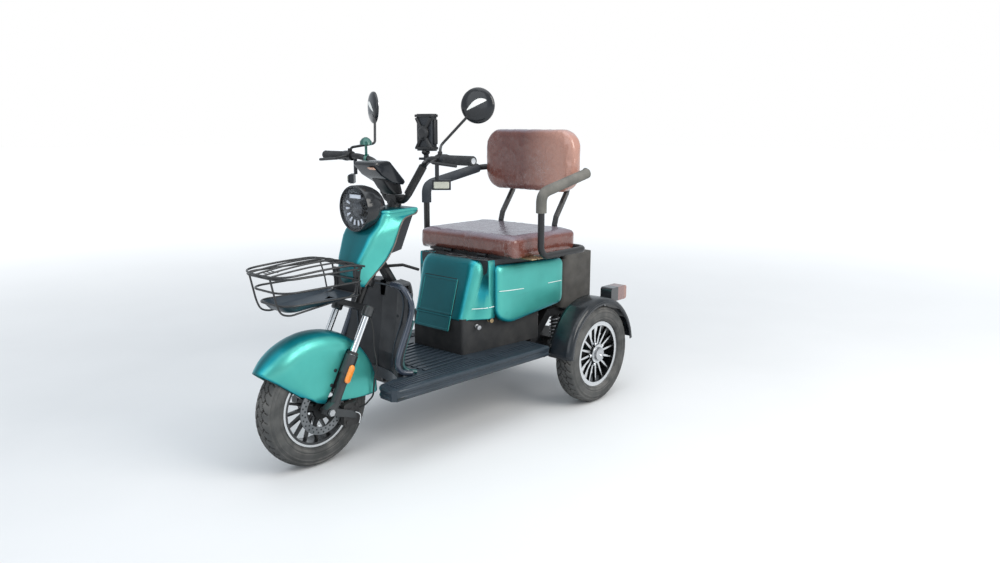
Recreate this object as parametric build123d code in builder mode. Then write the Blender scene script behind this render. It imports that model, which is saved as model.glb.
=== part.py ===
"""Electric tricycle: one steered wheel in front, two wheels behind, seat, basket and rear box.

Frame: +X forward, +Y to the rider's left, +Z up, origin on the ground at the middle of the outline.
All sizes are in millimetres.
"""
from math import atan2, cos, degrees, radians, sin, sqrt, tan
import os

from build123d import *

os.makedirs("parts", exist_ok=True)

# Wheels
wheelbase = 1170.0
front_axle_x = 595.0
rear_axle_x = front_axle_x - wheelbase
half_track = 333.0
tyre_radius = 206.0
front_tyre_width = 84.0
rear_tyre_width = 88.0
bead_radius = 127.0
flange_radius = 138.0
flange_width = 4.5
rim_width = 63.0
barrel_wall = 6.0
spoke_count = 16
wheel_sides = 48
front_hub_radius = 34.0
rear_hub_radius = 40.0
front_axle_radius = 7.5
rear_axle_radius = 12.5
running_fit = 0.05
seat_gap = 0.3
disc_radius = 88.0
disc_band = 26.0
disc_thickness = 4.0
disc_offset = 53.0

# Steering
rake = 27.7
axis_foot_x = 556.0
steering_lean = tan(radians(rake))
leg_spread = 84.0
leg_lead = 18.0
stanchion_radius = 12.0
lower_leg_radius = 17.0
collar_radius = 22.0
crown_z = 508.0
stanchion_top_z = 529.0
collar_top_z = 378.0
collar_bottom_z = 318.0
fender_half_width = 65.0
fender_radius = 258.0
fender_wall = 2.5
head_tube_bottom_z = 590.0
head_tube_top_z = 800.0
head_tube_radius = 24.0
steerer_radius = 14.0
clamp_z = 872.0

# Handlebar
bar_radius = 11.0
bar_half_width = 395.0
bar_z = 1031.0
grip_length = 125.0
grip_radius = 16.0

# Floor and body
floor_top_z = 281.0
floor_thickness = 40.0
rail_radius = 17.0
tub_top_z = 420.0
shell_top_z = 640.0
seat_half_width = 250.0
seat_top_z = 716.0
seat_bottom_z = 656.0


def steering_x(z):
    """X of the steering axis at height z."""
    return axis_foot_x - (z - tyre_radius) * steering_lean


def leg_x(z):
    """X of the fork legs' centre line at height z."""
    return steering_x(z) + leg_lead / cos(radians(rake))


steering_up = (-sin(radians(rake)), 0, cos(radians(rake)))


# Tyres: a ring with a rounded crown and hollowed side walls, its bead between the rim flanges
tyre_table = (
    # name, centre x, centre y, width
    ("front_tyre", front_axle_x, 0.0, front_tyre_width),
    ("rear_tyre_left", rear_axle_x, half_track, rear_tyre_width),
    ("rear_tyre_right", rear_axle_x, -half_track, rear_tyre_width),
)
bead_half = rim_width / 2 - flange_width
shoulder_drop = 17.0
wall_drop = 38.0
for tyre_name, wheel_x, wheel_y, tyre_width in tyre_table:
    tyre_half = tyre_width / 2
    crown_rows = (
        # distance from the middle, radius
        (-tyre_half, tyre_radius - wall_drop),
        (-tyre_half + 5, tyre_radius - shoulder_drop),
        (-tyre_half * 0.5, tyre_radius - 4),
        (0.0, tyre_radius),
        (tyre_half * 0.5, tyre_radius - 4),
        (tyre_half - 5, tyre_radius - shoulder_drop),
        (tyre_half, tyre_radius - wall_drop),
    )
    hollow_rows = (
        # distance from the middle, radius
        (bead_half, flange_radius),
        (tyre_half - 4, flange_radius + 10),
        (tyre_half, tyre_radius - wall_drop - 8),
    )
    with BuildPart() as tyre:
        for row_y, row_radius in crown_rows:
            with BuildSketch(Plane(origin=(wheel_x, wheel_y + row_y, tyre_radius), x_dir=(1, 0, 0), z_dir=(0, 1, 0))):
                RegularPolygon(row_radius, wheel_sides)
        loft(ruled=True)
        for side in (1, -1):
            for row_y, row_radius in hollow_rows:
                hollow_origin = (wheel_x, wheel_y + side * row_y, tyre_radius)
                with BuildSketch(Plane(origin=hollow_origin, x_dir=(1, 0, 0), z_dir=(0, 1, 0))):
                    RegularPolygon(row_radius, wheel_sides)
            loft(ruled=True, mode=Mode.SUBTRACT)
        with BuildSketch(Plane(origin=(wheel_x, wheel_y, tyre_radius), x_dir=(1, 0, 0), z_dir=(0, 1, 0))):
            RegularPolygon(bead_radius, wheel_sides)
        extrude(amount=tyre_half, both=True, mode=Mode.SUBTRACT)
    tyre.part.label = tyre_name
    export_step(tyre.part, f"parts/{tyre_name}.step")

# Rims: flanged barrel, hub and a fan of thin spokes
rim_table = (
    # name, centre x, centre y, outer side, hub radius, hub half length, bore radius, spoke face offset
    ("front_rim", front_axle_x, 0.0, 1, front_hub_radius, 42.0, front_axle_radius + running_fit, 0.0),
    ("rear_rim_left", rear_axle_x, half_track, 1, rear_hub_radius, 30.0, rear_axle_radius + running_fit, 10.0),
    ("rear_rim_right", rear_axle_x, -half_track, -1, rear_hub_radius, 30.0, rear_axle_radius + running_fit, 10.0),
)
spoke_depth = 14.0
spoke_root_width = 11.0
spoke_tip_width = 6.0
for rim_name, wheel_x, wheel_y, outer_side, hub_radius, hub_half, bore_radius, spoke_offset in rim_table:
    wheel_centre = Vector(wheel_x, wheel_y, tyre_radius)
    wheel_plane = Plane(origin=wheel_centre, x_dir=(1, 0, 0), z_dir=(0, 1, 0))
    with BuildPart() as rim:
        with BuildSketch(wheel_plane):
            RegularPolygon(bead_radius, wheel_sides)
        extrude(amount=rim_width / 2, both=True)
        for side in (1, -1):
            with BuildSketch(wheel_plane.offset(side * bead_half)):
                RegularPolygon(flange_radius, wheel_sides)
            extrude(amount=side * flange_width)
        with BuildSketch(wheel_plane):
            RegularPolygon(bead_radius - barrel_wall, wheel_sides)
        extrude(amount=rim_width / 2, both=True, mode=Mode.SUBTRACT)
        with BuildSketch(wheel_plane.offset(outer_side * spoke_offset - spoke_depth / 2)):
            with PolarLocations(0, spoke_count, start_angle=180 / wheel_sides):
                Polygon(
                    (hub_radius - 5, -spoke_root_width / 2),
                    (bead_radius - barrel_wall + 1.5, -spoke_tip_width / 2),
                    (bead_radius - barrel_wall + 1.5, spoke_tip_width / 2),
                    (hub_radius - 5, spoke_root_width / 2),
                    align=None,
                )
        extrude(amount=spoke_depth)
        with BuildSketch(wheel_plane):
            RegularPolygon(hub_radius, 16)
        extrude(amount=hub_half, both=True)
        with BuildSketch(wheel_plane):
            Circle(bore_radius)
        extrude(amount=hub_half, both=True, mode=Mode.SUBTRACT)
    rim.part.label = rim_name
    export_step(rim.part, f"parts/{rim_name}.step")

# Front brake disc with its carrier, on the left of the hub
with BuildPart() as brake_disc:
    disc_plane = Plane(origin=(front_axle_x, disc_offset - disc_thickness / 2, tyre_radius), x_dir=(0, 0, 1), z_dir=(0, 1, 0))
    with BuildSketch(disc_plane):
        RegularPolygon(disc_radius, 32)
        RegularPolygon(disc_radius - disc_band, 32, mode=Mode.SUBTRACT)
        with PolarLocations(disc_radius - disc_band - 12, 5):
            Rectangle(34, 14)
        RegularPolygon(front_hub_radius, 16)
        RegularPolygon(front_axle_radius + 4, 12, mode=Mode.SUBTRACT)
    extrude(amount=disc_thickness)
    with BuildSketch(Plane(origin=(front_axle_x, 42.0, tyre_radius), x_dir=(0, 0, 1), z_dir=(0, 1, 0))):
        RegularPolygon(front_hub_radius - 4, 16)
        RegularPolygon(front_axle_radius + 4, 12, mode=Mode.SUBTRACT)
    extrude(amount=disc_offset - disc_thickness / 2 - 42.0)
brake_disc.part.label = "brake_disc"
export_step(brake_disc.part, "parts/brake_disc.step")

# Front axle with a nut at each end
axle_half = leg_spread + lower_leg_radius + 1
with BuildPart() as front_axle:
    with BuildSketch(Plane.XZ.offset(-axle_half)):
        with Locations((front_axle_x, tyre_radius)):
            Circle(front_axle_radius)
    extrude(amount=2 * axle_half)
    for side in (1, -1):
        with BuildSketch(Plane(origin=(front_axle_x, side * axle_half, tyre_radius), x_dir=(1, 0, 0), z_dir=(0, side, 0))):
            RegularPolygon(12, 6)
        extrude(amount=9)
front_axle.part.label = "front_axle"
export_step(front_axle.part, "parts/front_axle.step")

# Fork lowers: leg tube with collar, axle lug, fender plate inside the skirt, and caliper tab
caliper_tab_y = 78.0
plate_thickness = 4.0
plate_y = fender_half_width - fender_wall - seat_gap - plate_thickness / 2
with BuildPart() as fork_lowers:
    for side in (1, -1):
        foot_z = tyre_radius - 16
        leg_run = (collar_top_z - foot_z) / cos(radians(rake))
        with BuildSketch(Plane(origin=(leg_x(foot_z), side * leg_spread, foot_z), z_dir=steering_up)):
            RegularPolygon(lower_leg_radius, 12)
        extrude(amount=leg_run)
        with BuildSketch(Plane(origin=(leg_x(collar_bottom_z), side * leg_spread, collar_bottom_z), z_dir=steering_up)):
            RegularPolygon(collar_radius, 12)
        extrude(amount=(collar_top_z - collar_bottom_z) / cos(radians(rake)))
        with BuildSketch(Plane.XZ.offset(-side * leg_spread - 15)):
            with BuildLine():
                Polyline(
                    (front_axle_x - 6, tyre_radius - 18),
                    (front_axle_x + 17, tyre_radius - 6),
                    (front_axle_x + 15, tyre_radius + 12),
                    (leg_x(tyre_radius + 40), tyre_radius + 40),
                    (leg_x(tyre_radius) - 8, tyre_radius),
                    close=True,
                )
            make_face()
        extrude(amount=30)
        with BuildSketch(Plane.XZ.offset(-side * plate_y - plate_thickness / 2)):
            with BuildLine():
                Polyline(
                    (leg_x(270) - 6, 270),
                    (leg_x(270) + 36, 266),
                    (leg_x(346) + 44, 340),
                    (leg_x(350) - 6, 350),
                    close=True,
                )
            make_face()
        extrude(amount=plate_thickness)
        with BuildSketch(Plane.XZ.offset(-side * (plate_y + leg_spread) / 2 - (leg_spread - plate_y) / 2)):
            with BuildLine():
                Polyline(
                    (leg_x(280) - 8, 280),
                    (leg_x(280) + 8, 280),
                    (leg_x(345) + 8, 345),
                    (leg_x(345) - 8, 345),
                    close=True,
                )
            make_face()
        extrude(amount=leg_spread - plate_y)
        with BuildSketch(Plane.XZ.offset(-leg_spread - 40)):
            with Locations((front_axle_x, tyre_radius)):
                Circle(front_axle_radius + running_fit)
        extrude(amount=2 * leg_spread + 80, mode=Mode.SUBTRACT)
        with BuildSketch(Plane(origin=(leg_x(collar_bottom_z + 15), side * leg_spread, collar_bottom_z + 15), z_dir=steering_up)):
            Circle(stanchion_radius + running_fit)
        extrude(amount=120, mode=Mode.SUBTRACT)
    with BuildSketch(Plane.XZ.offset(-caliper_tab_y)):
        with BuildLine():
            Polyline((478, 176), (478, 150), (560, 178), (578, 190), (578, 214), (560, 206), close=True)
        make_face()
    extrude(amount=-8)
fork_lowers.part.label = "fork_lowers"
export_step(fork_lowers.part, "parts/fork_lowers.step")

# Fork stanchions
with BuildPart() as fork_stanchions:
    for side in (1, -1):
        start_z = collar_bottom_z + 16
        with BuildSketch(Plane(origin=(leg_x(start_z), side * leg_spread, start_z), z_dir=steering_up)):
            Circle(stanchion_radius)
        extrude(amount=(stanchion_top_z - start_z) / cos(radians(rake)))
fork_stanchions.part.label = "fork_stanchions"
export_step(fork_stanchions.part, "parts/fork_stanchions.step")

# Amber reflectors on the fork legs
with BuildPart() as fork_reflectors:
    for side in (1, -1):
        reflector_y = leg_spread + lower_leg_radius + seat_gap
        with BuildSketch(Plane.XZ.offset(-side * (reflector_y + 3) - 3)):
            with Locations(Location((leg_x(280) - 4, 280), rake)):
                RectangleRounded(26, 58, 4)
        extrude(amount=6)
fork_reflectors.part.label = "fork_reflectors"
export_step(fork_reflectors.part, "parts/fork_reflectors.step")

# Fork crown and steerer
crown_thickness = 20.0
crown_plane = Plane(origin=(steering_x(crown_z), 0, crown_z), x_dir=(0, 1, 0), z_dir=steering_up)
steerer_top_z = clamp_z - 14
with BuildPart() as fork_crown:
    with BuildSketch(crown_plane):
        with BuildLine():
            Polyline(
                (-leg_spread - 4, -leg_lead - 15),
                (leg_spread + 4, -leg_lead - 15),
                (leg_spread + 14, -leg_lead - 9),
                (leg_spread + 14, -leg_lead + 9),
                (leg_spread, -leg_lead + 17),
                (28, 22),
                (-28, 22),
                (-leg_spread, -leg_lead + 17),
                (-leg_spread - 14, -leg_lead + 9),
                (-leg_spread - 14, -leg_lead - 9),
                close=True,
            )
        make_face()
        with Locations((leg_spread, -leg_lead), (-leg_spread, -leg_lead)):
            Circle(stanchion_radius + running_fit, mode=Mode.SUBTRACT)
    extrude(amount=crown_thickness)
    with BuildSketch(crown_plane):
        Circle(steerer_radius)
    extrude(amount=(steerer_top_z - crown_z) / cos(radians(rake)))
fork_crown.part.label = "fork_crown"
export_step(fork_crown.part, "parts/fork_crown.step")

# Front fender: rounded crown and deep skirts, open around the fork legs
fender_centre_x = front_axle_x + 5
fender_steps = 16
slot_lead = 21.0
slot_trail = 16.0
fender_start = 33.0
fender_sweep = 150.0
fender_section = (
    # half width, radius, half width inside the wall, radius inside the wall
    (fender_half_width, 10.0, fender_half_width - fender_wall, 10.0),
    (fender_half_width, fender_radius - 60, fender_half_width - fender_wall, fender_radius - 60.3),
    (fender_half_width - 5, fender_radius - 34, fender_half_width - 5 - 0.95 * fender_wall, fender_radius - 34 - 0.4 * fender_wall),
    (fender_half_width - 19, fender_radius - 12, fender_half_width - 19 - 0.7 * fender_wall, fender_radius - 12 - 0.8 * fender_wall),
    (fender_half_width * 0.36, fender_radius + 2, fender_half_width * 0.36 - 0.25 * fender_wall, fender_radius + 2 - fender_wall),
    (0.0, fender_radius + 6, 0.0, fender_radius + 6 - fender_wall),
)
fender_turns = [radians(fender_start + fender_sweep * k / fender_steps) for k in range(fender_steps + 1)]
with BuildPart() as front_fender:
    with BuildLine() as crown_path:
        Polyline(*[(fender_centre_x + fender_radius * cos(turn), 0, tyre_radius + fender_radius * sin(turn)) for turn in fender_turns])
    with BuildSketch(Plane(origin=crown_path.line @ 0, x_dir=(0, 1, 0), z_dir=crown_path.line % 0)):
        with BuildLine():
            Polyline(
                *[(y, fender_radius - r) for y, r, _, _ in fender_section],
                *[(-y, fender_radius - r) for y, r, _, _ in reversed(fender_section[:-1])],
                *[(-y, fender_radius - r) for _, _, y, r in fender_section],
                *[(y, fender_radius - r) for _, _, y, r in reversed(fender_section[:-1])],
                close=True,
            )
        make_face()
    sweep(transition=Transition.RIGHT)
    with BuildSketch(Plane.XZ.offset(-fender_half_width - 1)):
        with BuildLine():
            crown_line = CenterArc((fender_centre_x, tyre_radius), fender_radius + 8, 41, 138)
            Polyline(
                crown_line @ 1,
                (fender_centre_x - fender_radius - 4, tyre_radius + 2),
                (front_axle_x - 60, tyre_radius + 14),
                (front_axle_x - 4, tyre_radius + 18),
                (front_axle_x + 222, tyre_radius + 162),
                crown_line @ 0,
            )
        make_face()
    extrude(amount=2 * fender_half_width + 2, mode=Mode.INTERSECT)
    for side in (1, -1):
        with BuildSketch(Plane.XZ.offset(-side * fender_half_width - 6)):
            with BuildLine():
                Polyline(
                    (leg_x(tyre_radius) + slot_lead, tyre_radius),
                    (leg_x(collar_top_z + 10) + slot_lead, collar_top_z + 10),
                    (leg_x(collar_top_z + 10) - slot_trail, collar_top_z + 10),
                    (leg_x(tyre_radius) - slot_trail, tyre_radius),
                    close=True,
                )
            make_face()
        extrude(amount=12, mode=Mode.SUBTRACT)
front_fender.part.label = "front_fender"
export_step(front_fender.part, "parts/front_fender.step")

# Handlebar: two rises from the clamp, swept out to the grips
bar_side = (
    # x, y, z
    (214, bar_half_width, bar_z),
    (214, 202, bar_z),
    (209, 182, bar_z - 3),
    (190, 149, bar_z - 12),
    (185, 132, bar_z - 22),
    (202, 66, clamp_z + 28),
    (205, 46, clamp_z + 8),
)
with BuildPart() as handlebar:
    with BuildLine() as bar_line:
        Polyline(*bar_side, *[(x, -y, z) for x, y, z in reversed(bar_side)])
    with BuildSketch(Plane(origin=bar_line.line @ 0, z_dir=bar_line.line % 0)):
        RegularPolygon(bar_radius, 10)
    sweep(transition=Transition.RIGHT)
handlebar.part.label = "handlebar"
export_step(handlebar.part, "parts/handlebar.step")

# Handlebar clamp on the steerer
clamp_top_z = clamp_z + 28
with BuildPart() as bar_clamp:
    with BuildSketch(Plane.XY.offset(clamp_z - 5)):
        with Locations((204, 0)):
            Rectangle(42, 48)
    extrude(amount=clamp_top_z - clamp_z + 5)
    with BuildSketch(Plane(origin=(steering_x(812), 0, 812), z_dir=steering_up)):
        RegularPolygon(head_tube_radius, 12)
    extrude(amount=70)
    with BuildSketch(Plane(origin=(205, -40, clamp_z + 8), z_dir=(0, 1, 0))):
        Circle(bar_radius + running_fit)
    extrude(amount=80, mode=Mode.SUBTRACT)
    with BuildSketch(crown_plane):
        Circle(steerer_radius + running_fit)
    extrude(amount=(steerer_top_z - crown_z) / cos(radians(rake)) + 0.3, mode=Mode.SUBTRACT)
bar_clamp.part.label = "bar_clamp"
export_step(bar_clamp.part, "parts/bar_clamp.step")

# Grips
with BuildPart() as grips:
    for side in (1, -1):
        with BuildSketch(Plane(origin=(214, side * (bar_half_width + 3), bar_z), z_dir=(0, -side, 0))):
            RegularPolygon(grip_radius, 12)
        extrude(amount=grip_length)
        with BuildSketch(Plane(origin=(214, side * bar_half_width, bar_z), z_dir=(0, -side, 0))):
            Circle(bar_radius + running_fit)
        extrude(amount=grip_length + 10, mode=Mode.SUBTRACT)
grips.part.label = "grips"
export_step(grips.part, "parts/grips.step")

# Brake levers
perch_inset = 153.0
perch_y = bar_half_width - perch_inset
with BuildPart() as brake_levers:
    for side in (1, -1):
        with BuildSketch(Plane(origin=(214, side * (perch_y - 12), bar_z), z_dir=(0, side, 0))):
            RegularPolygon(bar_radius + 7, 10)
            Circle(bar_radius + running_fit, mode=Mode.SUBTRACT)
        extrude(amount=24)
        with BuildLine() as lever_line:
            Polyline(
                (214 + bar_radius + 4, side * perch_y, bar_z),
                (258, side * (perch_y + 6), bar_z - 6),
                (264, side * (perch_y + 20), bar_z - 9),
                (262, side * (bar_half_width - 30), bar_z - 16),
            )
        with BuildSketch(Plane(origin=lever_line.line @ 0, z_dir=lever_line.line % 0)):
            RegularPolygon(5.5, 6)
        sweep(transition=Transition.RIGHT)
brake_levers.part.label = "brake_levers"
export_step(brake_levers.part, "parts/brake_levers.step")

# Mirrors: domed round heads on bent stems
mirror_turn = 24.0
mirror_radius = 61.0
mirror_x = 70.0
mirror_y = 279.0
mirror_z = 1211.0
mirror_rows = (
    # distance behind the middle of the head, radius
    (-8.0, mirror_radius - 2),
    (-1.0, mirror_radius),
    (6.0, mirror_radius - 12),
    (10.0, mirror_radius - 34),
)
with BuildPart() as mirrors:
    for side in (1, -1):
        with BuildLine() as stem_line:
            Polyline(
                (214, side * perch_y, bar_z + bar_radius + 7 + 3 * seat_gap),
                (211, side * (perch_y - 2), bar_z + 31),
                (146, side * (perch_y - 64), bar_z + 46),
                (mirror_x + 12, side * (mirror_y - 27), mirror_z - 30),
            )
        with BuildSketch(Plane(origin=stem_line.line @ 0, z_dir=stem_line.line % 0)):
            RegularPolygon(5, 8)
        sweep(transition=Transition.RIGHT)
        back = Vector(cos(radians(mirror_turn)), side * sin(radians(mirror_turn)), 0)
        for row_offset, row_radius in mirror_rows:
            with BuildSketch(Plane(origin=Vector(mirror_x, side * mirror_y, mirror_z) + back * row_offset, z_dir=back)):
                RegularPolygon(row_radius, 24)
        loft(ruled=True)
mirrors.part.label = "mirrors"
export_step(mirrors.part, "parts/mirrors.step")

# Mirror glass
with BuildPart() as mirror_glass:
    for side in (1, -1):
        back = Vector(cos(radians(mirror_turn)), side * sin(radians(mirror_turn)), 0)
        with BuildSketch(Plane(origin=Vector(mirror_x, side * mirror_y, mirror_z) - back * 10, z_dir=back)):
            RegularPolygon(mirror_radius - 5, 24)
        extrude(amount=2)
mirror_glass.part.label = "mirror_glass"
export_step(mirror_glass.part, "parts/mirror_glass.step")

# Phone holder
with BuildPart() as phone_holder:
    with BuildSketch(Plane.XY.offset(bar_z + 26)):
        with Locations((172, 134)):
            Rectangle(26, 72)
    extrude(amount=126)
    with BuildSketch(Plane.XY.offset(bar_z - 6)):
        with Locations((176, 134)):
            RegularPolygon(9, 10)
    extrude(amount=34)
    with BuildSketch(Plane.XY.offset(bar_z - 4.5)):
        with Locations((186, 138)):
            Rectangle(30, 30)
    extrude(amount=8)
    for lower, upper in zip(bar_side[3:6], bar_side[2:5]):
        bar_run = Vector(upper) - Vector(lower)
        with BuildSketch(Plane(origin=Vector(lower) - bar_run.normalized() * 3, z_dir=bar_run)):
            RegularPolygon(bar_radius + 2 * seat_gap, 10)
        extrude(amount=bar_run.length + 6, mode=Mode.SUBTRACT)
phone_holder.part.label = "phone_holder"
export_step(phone_holder.part, "parts/phone_holder.step")

# Bell on the right bend of the bar
bell_low = Vector(bar_side[3][0], -bar_side[3][1], bar_side[3][2])
bell_high = Vector(bar_side[2][0], -bar_side[2][1], bar_side[2][2])
bell_middle = (bell_low + bell_high) / 2
bell_axis = (bell_high - bell_low).normalized()
bell_rows = (
    # height above the bar, radius
    (50.0, 23.0),
    (62.0, 22.0),
    (72.0, 14.0),
    (77.0, 5.0),
)
with BuildPart() as bell:
    with BuildSketch(Plane(origin=bell_middle - bell_axis * 5, z_dir=bell_axis)):
        RegularPolygon(bar_radius + 6, 10)
        Circle(bar_radius + running_fit, mode=Mode.SUBTRACT)
    extrude(amount=10)
    with BuildSketch(Plane.XY.offset(bell_middle.Z + bar_radius + 3)):
        with Locations((bell_middle.X, bell_middle.Y)):
            RegularPolygon(5, 8)
    extrude(amount=bell_rows[0][0] - bar_radius)
    for row_height, row_radius in bell_rows:
        with BuildSketch(Plane.XY.offset(bell_middle.Z + row_height)):
            with Locations((bell_middle.X, bell_middle.Y)):
                RegularPolygon(row_radius, 16)
    loft(ruled=True)
bell.part.label = "bell"
export_step(bell.part, "parts/bell.step")

# Turn signals under the bar
signal_y = 246.0
signal_z = 946.0
with BuildPart() as signal_housings:
    for side in (1, -1):
        face = Vector(cos(radians(45)), side * sin(radians(45)), 0)
        with BuildSketch(Plane(origin=Vector(213, side * signal_y, signal_z) - face * 16, x_dir=(0, 0, 1), z_dir=face)):
            Rectangle(34, 64)
        extrude(amount=16)
        with BuildSketch(Plane.XY.offset(signal_z + 17)):
            with Locations((208, side * (signal_y - 26))):
                RegularPolygon(7, 8)
        extrude(amount=bar_z - signal_z - 17)
        with BuildSketch(Plane(origin=(214, side * 205, bar_z), z_dir=(0, side, 0))):
            RegularPolygon(bar_radius + 2 * seat_gap, 10)
        extrude(amount=30, mode=Mode.SUBTRACT)
signal_housings.part.label = "signal_housings"
export_step(signal_housings.part, "parts/signal_housings.step")

with BuildPart() as signal_lenses:
    for side in (1, -1):
        face = Vector(cos(radians(45)), side * sin(radians(45)), 0)
        with BuildSketch(Plane(origin=Vector(213, side * signal_y, signal_z), x_dir=(0, 0, 1), z_dir=face)):
            Rectangle(30, 60)
        extrude(amount=10)
signal_lenses.part.label = "signal_lenses"
export_step(signal_lenses.part, "parts/signal_lenses.step")

# Instrument pod above the clamp: a wedge that faces the rider, on a neck
pod_half = 58.0
neck_half = 34.0
with BuildPart() as instrument_pod:
    with BuildSketch(Plane.XZ.offset(-pod_half)):
        with BuildLine():
            Polyline(
                (348, 1008), (340, 1022), (276, 1024), (203, 948), (208, 936), (262, 946), (312, 974),
                close=True,
            )
        make_face()
    extrude(amount=2 * pod_half)
    chamfer(instrument_pod.faces().sort_by(Axis.Y)[0].edges(), length=5)
    chamfer(instrument_pod.faces().sort_by(Axis.Y)[-1].edges(), length=5)
    with BuildSketch(Plane.XZ.offset(-neck_half)):
        with BuildLine():
            Polyline((190, clamp_top_z), (206, 945), (288, 964), (262, 925), (238, clamp_top_z), close=True)
        make_face()
    extrude(amount=2 * neck_half)
instrument_pod.part.label = "instrument_pod"
export_step(instrument_pod.part, "parts/instrument_pod.step")

# Brake caliper over the disc, on the tab of the left fork leg
caliper_x = front_axle_x - 103
caliper_z = tyre_radius - 40
with BuildPart() as brake_caliper:
    with BuildSketch(Plane.XZ.offset(-caliper_tab_y + seat_gap)):
        with Locations((caliper_x, caliper_z)):
            RectangleRounded(66, 82, 14)
    extrude(amount=caliper_tab_y - seat_gap - front_tyre_width / 2 - 5)
    with BuildSketch(Plane.XZ.offset(-front_tyre_width / 2 - 5)):
        with Locations((caliper_x, caliper_z)):
            RectangleRounded(66, 82, 14)
        with Locations((front_axle_x, tyre_radius)):
            Circle(bead_radius - 12, mode=Mode.INTERSECT)
    extrude(amount=11)
    with BuildSketch(Plane.XZ.offset(-disc_offset - 7)):
        with Locations((front_axle_x, tyre_radius)):
            Circle(disc_radius + 6)
    extrude(amount=14, mode=Mode.SUBTRACT)
brake_caliper.part.label = "brake_caliper"
export_step(brake_caliper.part, "parts/brake_caliper.step")

# Frame: head tube with the parking lever, down tube, floor rails and rear loop
rail_y = 110.0
rail_z = floor_top_z - floor_thickness - rail_radius - seat_gap
rear_rail_y = 150.0
rear_rail_z = 365.0
down_tube_x = 268.0
down_tube_radius = 19.0
rail_line = (
    # x, y, z
    (down_tube_x, rail_y, rail_z),
    (-415, rail_y, rail_z),
    (-490, rear_rail_y, rear_rail_z),
    (-740, rear_rail_y, rear_rail_z),
)
cross_table = (
    # x, z, half length
    (down_tube_x, rail_z, rail_y + 20),
    (-60, rail_z, rail_y),
    (-380, rail_z, rail_y),
    (-500, rear_rail_z, rear_rail_y),
    (-735, rear_rail_z, rear_rail_y),
)
with BuildPart() as frame:
    for side in (1, -1):
        with BuildLine() as tube_line:
            Polyline(*[(x, side * y, z) for x, y, z in rail_line])
        with BuildSketch(Plane(origin=tube_line.line @ 0, x_dir=(0, 1, 0), z_dir=tube_line.line % 0)):
            Rectangle(2 * rail_radius, 2 * rail_radius)
        sweep(transition=Transition.RIGHT)
    with BuildLine() as tube_line:
        Polyline((steering_x(690), 0, 690), (230, 0, 580), (down_tube_x, 0, 330), (down_tube_x, 0, rail_z - 5))
    with BuildSketch(Plane(origin=tube_line.line @ 0, z_dir=tube_line.line % 0)):
        RegularPolygon(down_tube_radius, 10)
    sweep(transition=Transition.RIGHT)
    with BuildLine() as lever_arm:
        Polyline((steering_x(648) - 19, 0, 648), (228, 58, 652), (156, 62, 626))
    with BuildSketch(Plane(origin=lever_arm.line @ 0, z_dir=lever_arm.line % 0)):
        RegularPolygon(6, 6)
    sweep(transition=Transition.RIGHT)
    for cross_x, cross_z, cross_half in cross_table:
        with BuildSketch(Plane.XZ.offset(-cross_half)):
            with Locations((cross_x, cross_z)):
                Rectangle(28, 28)
        extrude(amount=2 * cross_half)
    head_run = (head_tube_top_z - head_tube_bottom_z) / cos(radians(rake))
    head_plane = Plane(origin=(steering_x(head_tube_bottom_z), 0, head_tube_bottom_z), z_dir=steering_up)
    with BuildSketch(head_plane):
        RegularPolygon(head_tube_radius, 12)
    extrude(amount=head_run)
    with BuildSketch(head_plane):
        Circle(steerer_radius + running_fit)
    extrude(amount=head_run + 30, mode=Mode.SUBTRACT)
    with BuildSketch(head_plane):
        Circle(steerer_radius + running_fit)
    extrude(amount=-40, mode=Mode.SUBTRACT)
frame.part.label = "frame"
export_step(frame.part, "parts/frame.step")

# Floorboard: tray with a wheel notch in front
floor_rear_x = -320.0
with BuildPart() as floorboard:
    with BuildSketch(Plane.XY.offset(floor_top_z - floor_thickness)):
        with BuildLine():
            notch = ThreePointArc((360, 168), (310, 0), (360, -168))
            Polyline(
                notch @ 1, (440, -174), (456, -190), (458, -250), (445, -264), (floor_rear_x, -300),
                (floor_rear_x, 300), (445, 264), (458, 250), (456, 190), (440, 174), notch @ 0,
            )
        make_face()
        with Locations((down_tube_x, 0)):
            RegularPolygon(down_tube_radius + 5, 12, mode=Mode.SUBTRACT)
    extrude(amount=floor_thickness)
floorboard.part.label = "floorboard"
export_step(floorboard.part, "parts/floorboard.step")

# Leg shield: hollow shell, bowed back around the wheel, arched at the top
shield_top_z = 592.0
shield_base_z = floor_top_z + seat_gap
shield_wall = 4.0
shield_sections = (
    # z, front x at the side, front x in the middle, rear x at the side, rear x in the middle, half width
    (shield_base_z, 352, 304, 326, 240, 160),
    (345, 348, 300, 324, 236, 160),
    (456, 304, 284, 278, 216, 158),
    (shield_top_z, 288, 270, 262, 200, 150),
)
bow = (-1, -0.55, 0, 0.55, 1)
with BuildPart() as leg_shield:
    for inset, section_mode in ((0, Mode.ADD), (shield_wall, Mode.SUBTRACT)):
        for section_z, front_x, front_mid_x, rear_x, rear_mid_x, half in shield_sections:
            level = section_z - inset if section_z == shield_top_z else section_z
            with BuildSketch(Plane.XY.offset(level)):
                with BuildLine():
                    Polyline(
                        *[(front_mid_x + (front_x - front_mid_x) * b * b - inset, b * (half - inset)) for b in bow],
                        *[(rear_mid_x + (rear_x - rear_mid_x) * b * b + inset, b * (half - inset)) for b in reversed(bow)],
                        close=True,
                    )
                make_face()
        loft(ruled=True, mode=section_mode)
    with BuildSketch(Plane.XY.offset(540)):
        with Locations((238, 0)):
            SlotOverall(80, 50)
    extrude(amount=100, mode=Mode.SUBTRACT)
    with BuildSketch(Plane.YZ.offset(150)):
        with Locations((0, (shield_base_z + shield_top_z) / 2 - 40)):
            RectangleRounded(340, shield_top_z - shield_base_z + 80, 80)
    extrude(amount=260, mode=Mode.INTERSECT)
leg_shield.part.label = "leg_shield"
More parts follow.
